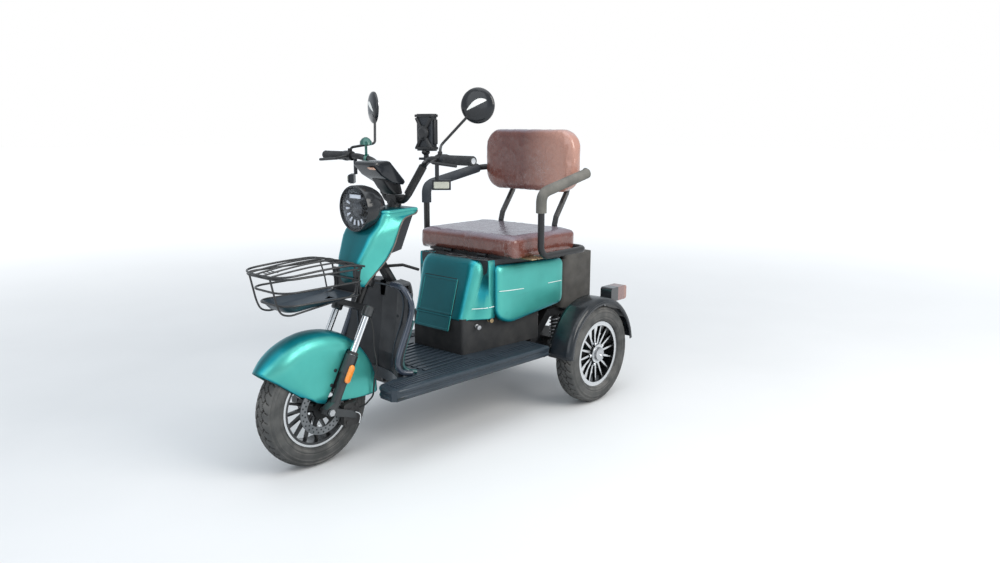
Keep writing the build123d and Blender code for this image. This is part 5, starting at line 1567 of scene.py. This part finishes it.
@dataclass
class WireBasket(Assembly):
    """The wire basket and its wire lid."""

    wire: float = 3.6
    hoops: tuple[tuple[float, float, float, float, float], ...] = (
        # z, rear x, front x, half width, front corner
        (676, 447, 770, 115, 62),
        (629, 441, 754, 98, 58),
        (584, 440, 741, 84, 52),
    )
    lid_z: float = 682.3

    @staticmethod
    def hoop(z: float, rear: float, front: float, half: float, corner: float, tilt: float = 0.0) -> list[Point]:
        """A rounded rectangle of points.

        Args:
            z: Height at its front.
            rear: X of its rear.
            front: X of its front.
            half: Half width.
            corner: Radius of its front corners.
            tilt: Drop towards the rear, in millimetres per millimetre.

        Returns:
            The points, once round.
        """
        points: list[Point] = []
        for cx, cy, start in ((front, half, 0), (rear, half, 90), (rear, -half, 180), (front, -half, 270)):
            radius = corner if cx == front else 24.0
            ox = cx - radius if cx == front else cx + radius
            oy = cy - radius if cy > 0 else cy + radius
            for k in range(8):
                turn = math.radians(start + 90 * k / 7)
                x = ox + radius * math.cos(turn)
                points.append((x, oy + radius * math.sin(turn), z - tilt * (front - x)))
        return points

    def body_wires(self) -> None:
        """Makes the hoops, the long wires, the eyes and the tray."""
        wires = []
        for number, row in enumerate(self.hoops):
            tilt = 0.02 if number == 2 else 0.0
            wires.append(Maker.tube(
                f"hoop_{number}", self.hoop(*row, tilt), self.wire, smooth=False, cyclic=True, sides=4
            ))
        for y in (-58, 58):
            run = [
                (447, y * 1.08, 677), (440, y, 606), (444, y, 584), (466, y, 573.5), (706, y, 547.5), (738, y, 558),
                (752, y, 590), (771, y, 677)
            ]
            wires.append(Maker.tube("long_wire", Maker.rounded(run, 16, 5), 3.2, smooth=False, sides=4))
        for y in (-96, 96):
            run = [(462, y * 1.17, 677), (458, y * 0.99, 629), (458, y * 0.86, 579)]
            wires.append(Maker.tube("rear_wire", run, 2.8, smooth=False, sides=3))
        for y in (48, -48):
            wires.append(Maker.lathe("eye", [(-5, 3.1), (-5, 6), (5, 6), (5, 3.1)], (447, y, 682.3), steps=20))
            wires.append(Maker.tile("eye_foot", (443, 451), (y - 5, y + 5), 674, 5, 0.5))
        self.add(Maker.join("basket_wires", wires), Palette.WIRE, ["basket"])
        rows = [
            self.hoop(582, 443, 737, 81, 50, 0.015), self.hoop(575, 450, 732, 77, 48, -0.01),
            self.hoop(560, 464, 718, 68, 42, -0.05)
        ]
        rows += [
            self.hoop(554, 478, 704, 58, 36, -0.08), self.hoop(553, 500, 680, 40, 26, -0.08),
            self.hoop(557, 560, 620, 6, 3, -0.08)
        ]
        tray = Maker.skin("basket_tray", rows, caps=False)
        Maker.thicken(tray, 2.2)
        floor = Maker.slab(
            "tray_middle", [(545, -24, 562.5), (635, -24, 555.3), (635, 24, 555.3), (545, 24, 562.5)], (0, 0, 2.4),
            0.5
        )
        self.add(Maker.join("basket_pan", [tray, floor]), Palette.FLOOR_PLASTIC, angle=50)

    def lid_lift(self, x: float, y: float) -> float:
        """How far the lid's wires bow up at a place.

        Args:
            x: Distance along the basket.
            y: Distance from the middle.

        Returns:
            The lift in millimetres.
        """
        share = (x - 447.0) / 326.0
        rise = min(1.0, share / 0.16) if share < 0.34 else max(0.0, 1.0 - (share - 0.34) / 0.66)
        return 19.0 * math.sin(rise * math.pi / 2) * (1.0 - 0.45 * (y / 118.0) ** 2)

    def lid_wires(self) -> None:
        """Makes the lid's rim, its bowed wires and the latch plate."""
        places = (447, 470, 505, 545, 590, 640, 690, 722)
        side = [(x, -118.0 if x > 460 else -116.0, self.lid_z + self.lid_lift(x, 118)) for x in places]
        nose = [(748, -108, self.lid_z + 2), (765, -84, self.lid_z + 1), (773, -48, self.lid_z), (774, 0, self.lid_z)]
        rim = side + nose + Side.RIGHT.put(reversed(side + nose[:-1]))
        bars = [Maker.tube("lid_rim", rim, self.wire, sides=4)]
        bars.append(Maker.tube(
            "lid_rear", [(447, -116, self.lid_z), (447, 116, self.lid_z)], 3.0, smooth=False, sides=4
        ))
        for y in (-66, -22, 22, 66):
            end = 771 - 0.0016 * y * y
            run = [
                (x, y * (0.9 + 0.1 * min(1.0, (end - x) / 200)), self.lid_z + self.lid_lift(x, y))
                for x in (447, 470, 505, 560, 620, 690, 740, end)
            ]
            bars.append(Maker.tube("lid_bar", run, 2.9, sides=3))
        for x in (716, 734, 752):
            bars.append(Maker.tube(
                "latch_wire", [(x, -20, self.lid_z + 3), (x, 0, self.lid_z + 4), (x, 20, self.lid_z + 3)], 1.6,
                sides=2
            ))
        plate = Maker.tile("latch", (762, 779), (-14, 14), 676, 4, 1.0)
        self.add(Maker.join("basket_lid_wires", [*bars, plate]), Palette.WIRE, ["basket_lid"], body=Body.BASKET_LID)

    def build(self) -> None:
        """Makes the basket and its lid."""
        self.body_wires()
        self.lid_wires()


# Middle and rear


@dataclass
class FloorDeck(Assembly):
    """The floor with its ribs, edge mouldings and seam, and the tub."""

    top: float = 281.0

    def build(self) -> None:
        """Dresses the floor and lays the ribs."""
        self.dress("floorboard", Palette.FLOOR_PLASTIC, 13.0)
        self.dress("battery_tub", Palette.TUB_PLASTIC, 3.0)
        self.dress("battery", Palette.DARK_PLASTIC, 1.0)
        self.dress("frame", Palette.BLACK_METAL, 2.0)
        sunk = self.top - 0.5
        ribs = [Maker.tile("rib", (14.0, 236.0), (y - 8, y + 8), sunk, 5.0, 2.4) for y in range(-165, 166, 30)]
        for side in Side:
            for y, rear in ((198, 10.0), (213, -312.0), (228, -312.0), (243, -312.0)):
                edges = (side.value * (y - 4), side.value * (y + 4))
                ribs.append(Maker.tile("rib", (rear, 430), edges, sunk, 3.4, 1.2, 2))
        self.add(Maker.join("floor_ribs", ribs), Palette.FLOOR_PLASTIC)
        for side in Side:
            run = [
                (-318, 296), (0, 281), (300, 267), (428, 260.5), (446, 252), (453, 236), (452, 200), (447, 186),
                (434, 178), (400, 172), (372, 168)
            ]
            for number, (z, inset, radius) in enumerate(((272.5, 0.0, 9.5), (250.0, 1.0, 8.5))):
                edge = side.put([(x - inset * 0.5, y - inset, z) for x, y in run])
                self.add(Maker.tube(f"floor_edge_{side.tag}_{number}", edge, radius, sides=5), Palette.FLOOR_PLASTIC)
            strip = side.put([(444, 266.2, 246), (-318, 301.6, 246), (-318, 301.6, 252), (444, 266.2, 252)])
            self.add(Maker.slab(f"floor_strip_{side.tag}", strip, (0, -side.value * 2.5, 0), 0.6), Palette.DARK_LINE)


@dataclass
class SeatBase(Assembly):
    """Painted seat base: front shell, side covers, door and top plate."""

    @staticmethod
    def outline(corners: Sequence[tuple[float, float, float]], steps: int = 6) -> list[tuple[float, float]]:
        """A flat outline with rounded corners.

        Args:
            corners: Rows of x, z and corner radius.
            steps: Points in each corner.

        Returns:
            Points as X and Z.
        """
        points: list[tuple[float, float]] = []
        count = len(corners)
        for i, (x, z, radius) in enumerate(corners):
            here = Vector((x, z))
            before = Vector(corners[i - 1][:2])
            after = Vector(corners[(i + 1) % count][:2])
            start = here + (before - here).normalized() * radius
            end = here + (after - here).normalized() * radius
            for k in range(steps + 1):
                t = k / steps
                spot = start * (1 - t) ** 2 + here * 2 * t * (1 - t) + end * t * t
                points.append((spot.x, spot.y))
        return points

    def cover(self, side: Side) -> Piece:
        """Makes one bulging side cover.

        Args:
            side: Which side it is on.

        Returns:
            The cover.
        """
        corners = ((-116, 420, 34), (-116, 621, 30), (-534, 601, 22), (-534, 412, 34), (-180, 378, 50))
        rings = []
        middle = Vector((-325, 495))
        for inset, height in (
            (0, 0.3), (0, 6), (1.5, 12), (5, 18), (11, 22.5), (20, 25.5), (36, 27.6), (62, 28.6), (82, 29.0),
            (98, 29.2)
        ):
            sx, sz = 1 - inset / 209.0, 1 - inset / 105.0
            ring = []
            for x, z in self.outline(corners):
                away = Vector((x, z)) - middle
                ring.append((middle.x + away.x * sx, side.value * (186.0 + height), middle.y + away.y * sz))
            rings.append(ring)
        return Maker.skin(f"side_cover_{side.tag}", rings)

    def shell(self) -> Piece:
        """Makes the rounded front shell, which reaches back to the side covers.

        Returns:
            The shell.
        """
        rows = (
            # z, front x, front half, rear half, corner
            (414.0, 8.5, 143, 188, 34),
            (419.0, 7.5, 143.5, 188.5, 36),
            (430.0, 3.0, 144, 189, 38),
            (470.0, -9.0, 148, 190, 42),
            (530.0, -26.0, 154, 190.5, 46),
            (585.0, -42.0, 159, 190.5, 48),
            (606.0, -48.0, 158, 190.5, 48),
            (622.0, -55.0, 153, 190.0, 46),
            (633.0, -64.0, 145, 189.0, 42),
            (640.0, -77.0, 134, 187.5, 36),
            (641.0, -84.0, 128, 187.0, 32),
        )
        rings = []
        for z, front, half, rear_half, corner in rows:
            side = [(-121.0, rear_half), (-86.0, rear_half - 0.5)]
            side += [
                (-86.0 + (front - corner + 86.0) * t, rear_half - 0.5 - (rear_half - 0.5 - half) * t)
                for t in (0.35, 0.7)
            ]
            for k in range(8):
                turn = math.pi / 2 * k / 7
                side.append((front - corner + corner * math.sin(turn), half - corner + corner * math.cos(turn)))
            side += [(front + 0.8, (half - corner) * 0.5), (front + 1.2, 0.0)]
            rings.append(Maker.level_ring(side, z))
        shell = Maker.skin("seat_shell_skin", rings, closed=False, caps=False)
        Maker.thicken(shell, 2.5)
        return shell

    def door(self) -> None:
        """Makes the rounded storage door with its raised rim, and the dark seam round it."""
        lean = math.atan2(52, 180)
        out = Vector((math.cos(lean), 0, math.sin(lean)))
        rise = Vector((-math.sin(lean), 0, math.cos(lean)))
        base = Vector((2.7, -16, 426))

        def ring(half: float, low: float, high: float, corner: float, lift: float) -> list[Point]:
            flat = self.outline([
                (-half, low, corner), (half, low, corner), (half, high, corner), (-half, high, corner)
            ])
            return [tuple(base + Vector((0, y, 0)) + rise * h + out * lift) for y, h in flat]

        rows = [
            ring(94, 0, 142, 6, 0), ring(94, 0, 142, 6, 3.6), ring(93, 1, 141, 5.5, 4.8), ring(91, 2.5, 139, 5, 5.2)
        ]
        rows += [
            ring(86, 7, 134, 4.5, 5.2), ring(84.5, 8.5, 132.5, 4, 4.0), ring(82, 11, 130, 3.5, 4.0),
            ring(40, 50, 92, 3, 4.4)
        ]
        self.add(Maker.skin("storage_door_skin", rows), Palette.GREEN, ["storage_door"], "green_paint", angle=30)
        rows = [
            ring(94, -62, -1.2, 5, 0), ring(94, -62, -1.2, 5, 3.6), ring(93, -61, -2.0, 4.5, 4.8),
            ring(91, -59, -3.5, 4, 5.2)
        ]
        rows += [ring(86, -54, -8, 4, 5.2), ring(84.5, -52.5, -9.5, 3.5, 4.0), ring(82, -50, -12, 3, 4.0)]
        self.add(Maker.skin("door_apron", rows), Palette.GREEN, body=Body.CHASSIS, angle=30)
        seam = ring(95.4, -63.5, 143.4, 14, 1.6)
        self.add(
            Maker.tube("door_seam", seam, 1.8, smooth=False, cyclic=True, sides=2), Palette.DARK_LINE,
            body=Body.CHASSIS
        )

    def fittings(self) -> None:
        """Makes the lock, the charging socket and the armrest clamps."""
        plug = [(0, 0.1), (0, 7), (6, 8), (7, 6), (16, 6), (18, 8.5), (24, 8.5), (25, 0.1)]
        self.add(Maker.lathe("tub_lock", plug, (-62, 146, 386), (0.25, 0.95, -0.1), 28), Palette.STEEL)
        self.add(Maker.lathe("tub_socket", plug, (-118, 158, 402), (0.2, 0.97, 0.05), 28), Palette.BRASS)
        clamps = []
        for x in (-225, -262):
            clamps.append(Maker.tile("clamp", (x - 16, x + 16), (214, 300), 640, 6, 1.5, 2))
            clamps.append(Maker.lathe(
                "clamp_bolt", [(0, 0.1), (0, 7), (5, 7), (6, 5), (6, 0.1)], (x, 236, 646), (0, 0, 1), 6
            ))
        self.add(Maker.join("armrest_clamps", clamps), Palette.BRASS)

    def stripes(self) -> None:
        """Lays the white pinstripes on the shell and the covers."""
        runs = (
            ((-121, 213.6, 522.5), (-150, 215.6, 519.5), (-200, 216.2, 516.5), (-262, 216.2, 513.0)),
            ((-418, 216.2, 512.0), (-470, 216.0, 511.0), (-512, 212.6, 509.5)),
        )
        for side in Side:
            for number, run in enumerate(runs):
                stripe = Maker.tube(f"pinstripe_{side.tag}_{number}", side.put(run), 1.5, sides=2)
                self.add(stripe, Palette.STRIPE)
            low = side.put([(-33, 151.1, 458), (-60, 172.1, 458.5), (-87, 190.4, 460), (-114, 191.2, 461)])
            self.add(Maker.tube(f"shell_stripe_{side.tag}", low, 1.4, sides=2), Palette.STRIPE)

    def build(self) -> None:
        """Makes the seat base."""
        self.add(self.shell(), Palette.GREEN, ["seat_shell"], "green_paint", angle=50)
        for side in Side:
            self.add(self.cover(side), Palette.GREEN, side.once("side_panels"), "green_paint", angle=60)
        self.body = Body.STORAGE_DOOR
        self.door()
        self.body = Body.CHASSIS
        self.stripes()
        self.fittings()
        self.dress("seat_box", Palette.DARK_PLASTIC, 1.5)
        plate = self.outline([(-82, -126, 30), (-82, 126, 30), (-124, 184, 6), (-124, -184, 6)])
        self.add(Maker.slab("top_plate", [(x, y, 637.5) for x, y in plate], (0, 0, 3.2), 1.0), Palette.BLACK_GLOSS)
        for number, y in enumerate((2, 118)):
            rings = []
            for k in range(48):
                turn = math.tau * k / 48
                across, along = 52 * math.cos(turn), 24 * math.sin(turn)
                spot = Vector((-106 + along, y + across, 640.4))
                away = Vector((along, across, 0)).normalized()
                bead = ((-7, 0), (-5, 2.2), (0, 3.0), (4, 2.0), (6, 0), (0, -1))
                rings.append([tuple(spot + away * a + Vector((0, 0, b))) for a, b in bead])
            self.add(Maker.skin(f"top_ring_{number}", rings, loop=True, caps=False), Palette.BLACK_GLOSS)


@dataclass
class SoftSeat(Assembly):
    """Seat cushion and backrest, swollen under a clear film."""

    swell: tuple[tuple[float, float], ...] = ((8.0, 8.0), (6.0, 6.0), (9.0, 10.0))
    voxel: float = 0.006
    frames: int = 18
    slide: float = 4.0 * MM
    relaxing: int = 14

    def cushion(self, name: str, low: Point, high: Point, corner: float, cap: float) -> Piece:
        """Args:
            name: Name of the piece.
            low: Lowest corner in millimetres.
            high: Highest corner in millimetres.
            corner: Corner radius of its face.
            cap: Most that a point may move, in millimetres.

        Returns:
            The cushion.
        """
        size = [h - l for l, h in zip(low, high)]
        thin = size.index(min(size))
        a, b = [i for i in range(3) if i != thin]
        rings = []
        steps = 7
        for share, inset in ((0.0, 7.0), (0.06, 2.0), (0.18, 0.0), (0.5, 0.0), (0.82, 0.0), (0.94, 3.0), (1.0, 10.0)):
            ring = []
            for sa, sb, start in ((1, 1, 0), (-1, 1, 90), (-1, -1, 180), (1, -1, 270)):
                for k in range(steps):
                    turn = math.radians(start + 90 * k / (steps - 1))
                    half_a, half_b = size[a] / 2 - inset, size[b] / 2 - inset
                    radius = max(4.0, corner - inset)
                    point = [0.0, 0.0, 0.0]
                    point[a] = (low[a] + high[a]) / 2 + sa * (half_a - radius) + radius * math.cos(turn)
                    point[b] = (low[b] + high[b]) / 2 + sb * (half_b - radius) + radius * math.sin(turn)
                    point[thin] = low[thin] + share * size[thin]
                    ring.append(tuple(point))
            rings.append(ring)
        piece = Maker.skin(name, rings)
        remesh = piece.modifiers.new("voxels", "REMESH")
        remesh.mode = "VOXEL"
        remesh.voxel_size = self.voxel
        self.bake(piece)
        rest = [v.co.copy() for v in piece.data.vertices]
        cloth = piece.modifiers.new("cloth", "CLOTH")
        cloth.settings.use_pressure = True
        cloth.settings.uniform_pressure_force = 4.0
        cloth.settings.quality = 5
        cloth.settings.mass = 0.3
        cloth.settings.tension_stiffness = 40
        cloth.settings.bending_stiffness = 12.0
        cloth.settings.shrink_min = 0.004
        cloth.settings.effector_weights.gravity = 0.0
        cloth.point_cache.frame_start = 1
        cloth.point_cache.frame_end = self.frames + 2
        for number in range(1, self.frames + 1):
            bpy.context.scene.frame_set(number)
        self.bake(piece)
        bpy.context.scene.frame_set(1)
        for vertex, start in zip(piece.data.vertices, rest):
            move = vertex.co - start
            for i in (a, b):
                move[i] = max(-self.slide, min(self.slide, move[i]))
            if move.length > cap * MM:
                move = move.normalized() * cap * MM
            spot = start + move
            for i in range(3):
                spot[i] = min(max(spot[i], (low[i] - self.swell[i][0]) * MM), (high[i] + self.swell[i][1]) * MM)
            vertex.co = spot
        smooth = piece.modifiers.new("relax", "SMOOTH")
        smooth.factor = 0.5
        smooth.iterations = self.relaxing
        self.bake(piece)
        return piece

    @staticmethod
    def bake(piece: Piece) -> None:
        """Turns a piece's modifiers into its mesh."""
        mesh = Maker.evaluated(piece)
        old = piece.data
        piece.modifiers.clear()
        piece.data = mesh
        bpy.data.meshes.remove(old)

    @staticmethod
    def crease(piece: Piece, depth: float, seed: float) -> None:
        """Pushes shallow film creases into a surface.

        Args:
            piece: The cushion.
            depth: Depth of a crease in millimetres.
            seed: Moves the pattern.
        """
        for vertex in piece.data.vertices:
            spot = vertex.co
            fold = noise.noise(Vector((spot.x * 9 + seed, spot.y * 22, spot.z * 16)))
            fine = noise.noise(Vector((spot.x * 40, spot.y * 24 + seed, spot.z * 40)))
            vertex.co = spot + vertex.normal * depth * MM * (max(0.0, 0.2 - abs(fold)) * 4 - 0.4 + 0.25 * fine)

    @staticmethod
    def sag(piece: Piece) -> None:
        """Lets the film hang below the edge of the pan on both sides.

        Args:
            piece: The seat cushion.
        """
        for vertex in piece.data.vertices:
            x, y, z = vertex.co / MM
            beyond = max(0.0, min(1.0, (abs(y) - 226.0) / 22.0))
            low = max(0.0, min(1.0, (690.0 - z) / 32.0))
            ripple = 0.7 + 0.3 * noise.noise(Vector((x * 0.03, y * 0.01, 0.0)))
            vertex.co.z -= 17.0 * MM * beyond * low * ripple

    def build(self) -> None:
        """Makes the two cushions and dresses what carries them."""
        self.body = Body.SEAT
        seat = self.cushion("seat_cushion_film", (-556, -264, 655), (-138, 264, 722), 34, 24)
        self.crease(seat, 1.4, 3.0)
        self.sag(seat)
        self.add(seat, Palette.VINYL, ["seat_cushion"], "seat_vinyl", angle=180)
        self.dress("seat_pan", Palette.SEAT_PAN, 1.5)
        self.body = Body.CHASSIS
        back = self.cushion("backrest_film", (-600, -248, 868), (-538, 244, 1133), 82, 22)
        self.crease(back, 1.4, 9.0)
        self.add(back, Palette.VINYL, ["backrest_pad"], "seat_vinyl", angle=180)
        self.dress("backrest_frame", Palette.BLACK_METAL, 2.0)


@dataclass
class ArmRests(Assembly):
    """Bent tubes with foam sleeves."""

    tube_radius: float = 13.0
    sleeve_radius: float = 20.5
    run: tuple[Point, ...] = (
        (-540, 290, 652),
        (-513, 315, 652),
        (-268, 315, 652),
        (-243, 315, 677),
        (-243, 315, 868),
        (-251, 315, 888),
        (-272, 314, 900),
        (-560, 302, 958),
        (-596, 262, 962),
    )

    def build(self) -> None:
        """Makes the tube loop and both sleeves."""
        tubes = []
        for side in Side:
            points = side.put([(-540, 0, 652), *self.run])
            tubes.append(Maker.tube("arm", Maker.rounded(points, 26, 6), self.tube_radius, smooth=False, sides=7))
            foot = side.value * 150
            tubes.append(Maker.tile("arm_foot", (-534.3, -530.3), (foot - 22, foot + 22), 560, 90, 1))
        self.add(Maker.join("armrest_tubes", tubes), Palette.BLACK_METAL, ["armrest_frame"])
        for side in Side:
            points = Maker.rounded(side.put([(-243, 315, 820), *self.run[4:7], (-548.3, 302.5, 955.6)]), 30, 7)
            sleeve = Maker.tube(f"arm_sleeve_{side.tag}", points, self.sleeve_radius, smooth=False, sides=8)
            Maker.soften_edges(sleeve, 3, 3, 60)
            # the right sleeve takes the darker copy of the foam as painted shade
            finish = Palette.FOAM if side is Side.LEFT else Palette.SHADED_FOAM
            self.add(sleeve, finish, side.once("armrest_pads"))


@dataclass
class RearBody(Assembly):
    """Rear box, mudguards, lamps, axle and shocks."""

    axle: Point = (-575.0, 0.0, 206.0)

    def mudguard(self, side: Side) -> Piece:
        """Makes one smooth mudguard.

        Args:
            side: Which side it is on.

        Returns:
            The mudguard.
        """
        rings = []
        profile = [(285.5, 238.5), (300, 239.5), (345, 239.5), (366, 239)]
        profile += [(377, 237), (384, 230), (386.8, 222), (386.8, 212.5)]
        for k in range(41):
            turn = math.radians(6 + 166 * k / 40)
            flare = 1.0 - min(1.0, k / 8)
            ring = []
            for y, r in profile:
                out = y + 8 * flare * max(0.0, (y - 340) / 46)
                ring.append(Maker.on_wheel(self.axle, r, turn, side.value * min(out, 397)))
            rings.append(ring)
        piece = Maker.skin(f"mudguard_{side.tag}", rings, closed=False, caps=False)
        Maker.thicken(piece, 2.5)
        return piece

    def springs(self) -> None:
        """Makes the coil springs round the shocks."""
        coils, low, high, reach = 7, 238.0, 342.0, 19.5
        for side in Side:
            for number, x in enumerate((-600, -550)):
                points = []
                for k in range(coils * 16 + 1):
                    t = k / (coils * 16)
                    turn = math.tau * coils * t
                    y = side.value * 150 + reach * math.sin(turn)
                    points.append((x + reach * math.cos(turn), y, low + (high - low) * t))
                coil = Maker.tube(f"spring_{side.tag}_{number}", points, 3.0, smooth=False, sides=3)
                self.add(coil, Palette.STEEL)

    def build(self) -> None:
        """Makes the rear body."""
        for side in Side:
            self.add(self.mudguard(side), Palette.GUARD)
        self.dress("rear_mudguards", Palette.GUARD, 0)
        self.dress("tail_lamps", Palette.TAIL, 5.0)
        self.dress("rear_box", Palette.BOX_PLASTIC, 3.0)
        self.body = Body.REAR_BOX_LID
        self.dress("rear_box_lid", Palette.BOX_PLASTIC, 3.0)
        self.body = Body.CHASSIS
        self.dress("rear_axle", Palette.BLACK_METAL, 1.5)
        self.dress("shock_absorbers", Palette.BLACK_METAL, 1.0)
        self.springs()


# Room


@dataclass
class Studio:
    """Pale floor, soft lamps and the camera."""

    camera_place: Point = (2.0889, 2.1755, 1.1442)
    right: Point = (-0.66394, 0.74778, 0.00325)
    up: Point = (-0.14267, -0.13094, 0.98107)
    ahead: Point = (-0.73405, -0.65091, -0.19363)
    lens: float = 28.45

    def camera(self) -> None:
        """Sets the camera at the photograph's viewing angle."""
        data = bpy.data.cameras.new("view")
        data.lens = self.lens
        data.sensor_width = 36.0
        data.sensor_fit = "HORIZONTAL"
        camera = Maker.link("view", data)
        turn = Matrix((self.right, self.up, [-c for c in self.ahead])).transposed()
        camera.matrix_world = Matrix.Translation(self.camera_place) @ turn.to_4x4()
        bpy.context.scene.camera = camera

    def lamp(
        self, name: str, place: Point, target: Point, size: float, power: float, colour: Point = (1, 1, 1)
    ) -> None:
        """Adds one soft lamp.

        Args:
            name: Name of the lamp.
            place: Where it hangs, in metres.
            target: Where it points.
            size: Width in metres.
            power: Power in watts.
            colour: Its colour.
        """
        data = bpy.data.lights.new(name, "AREA")
        data.size = size
        data.energy = power
        data.color = colour
        lamp = Maker.link(name, data)
        lamp.location = place
        lamp.rotation_euler = (Vector(target) - Vector(place)).to_track_quat("-Z", "Y").to_euler()

    def world(self) -> None:
        """Sets a soft grey world that looks white to the camera."""
        world = bpy.data.worlds.new("room")
        world.use_nodes = True
        nodes, links = world.node_tree.nodes, world.node_tree.links
        nodes.clear()
        output = nodes.new("ShaderNodeOutputWorld")
        light = nodes.new("ShaderNodeBackground")
        light.inputs["Color"].default_value = (0.86, 0.93, 1.0, 1)
        light.inputs["Strength"].default_value = 0.66
        white = nodes.new("ShaderNodeBackground")
        white.inputs["Color"].default_value = (1, 1, 1, 1)
        white.inputs["Strength"].default_value = 1.0
        path = nodes.new("ShaderNodeLightPath")
        mix = nodes.new("ShaderNodeMixShader")
        links.new(path.outputs["Is Camera Ray"], mix.inputs["Fac"])
        links.new(light.outputs[0], mix.inputs[1])
        links.new(white.outputs[0], mix.inputs[2])
        links.new(mix.outputs[0], output.inputs["Surface"])
        bpy.context.scene.world = world

    def build(self) -> None:
        """Makes the floor, lamps, world and camera."""
        mesh = bpy.data.meshes.new("studio_floor")
        mesh.from_pydata([(-40, -40, 0), (40, -40, 0), (40, 40, 0), (-40, 40, 0)], [], [(0, 1, 2, 3)])
        floor = Maker.link("studio_floor", mesh)
        floor.location.z = -0.0005
        floor.data.materials.append(Palette.GROUND.material())
        self.world()
        self.lamp("side_lamp", (-0.6, 3.4, 2.6), (0, 0, 0.5), 2.4, 95, (1.0, 0.97, 0.92))
        self.lamp("top_lamp", (0.3, 0.4, 3.6), (0, 0, 0.4), 3.0, 42, (0.92, 0.96, 1.0))
        self.lamp("front_lamp", (3.4, 0.6, 2.2), (0, 0, 0.5), 2.4, 26, (0.92, 0.96, 1.0))
        self.camera()
        bpy.context.scene.view_settings.view_transform = "Standard"


def main() -> None:
    """Builds every assembly in order."""
    logging.basicConfig(level=logging.INFO, format="%(message)s")
    assemblies: list[Assembly] = [
        RoadWheel(Body.FRONT_WHEEL, name="front"),
        RoadWheel(Body.REAR_LEFT, name="left", centre=(-575.0, 333.0, 206.0), half_width=44.0, bright=True),
        RoadWheel(Body.REAR_RIGHT, name="right", centre=(-575.0, -333.0, 206.0), half_width=44.0, bright=True),
        FrontBrake(),
        Fork(),
        Cockpit(),
        FrontBody(),
        WireBasket(),
        FloorDeck(),
        SeatBase(),
        SoftSeat(),
        ArmRests(),
        RearBody(),
    ]
    for assembly in assemblies:
        assembly.build()
        log.info("%s: %s", type(assembly).__name__, ", ".join(assembly.made))
    Studio().build()


if __name__ == "__main__":
    main()
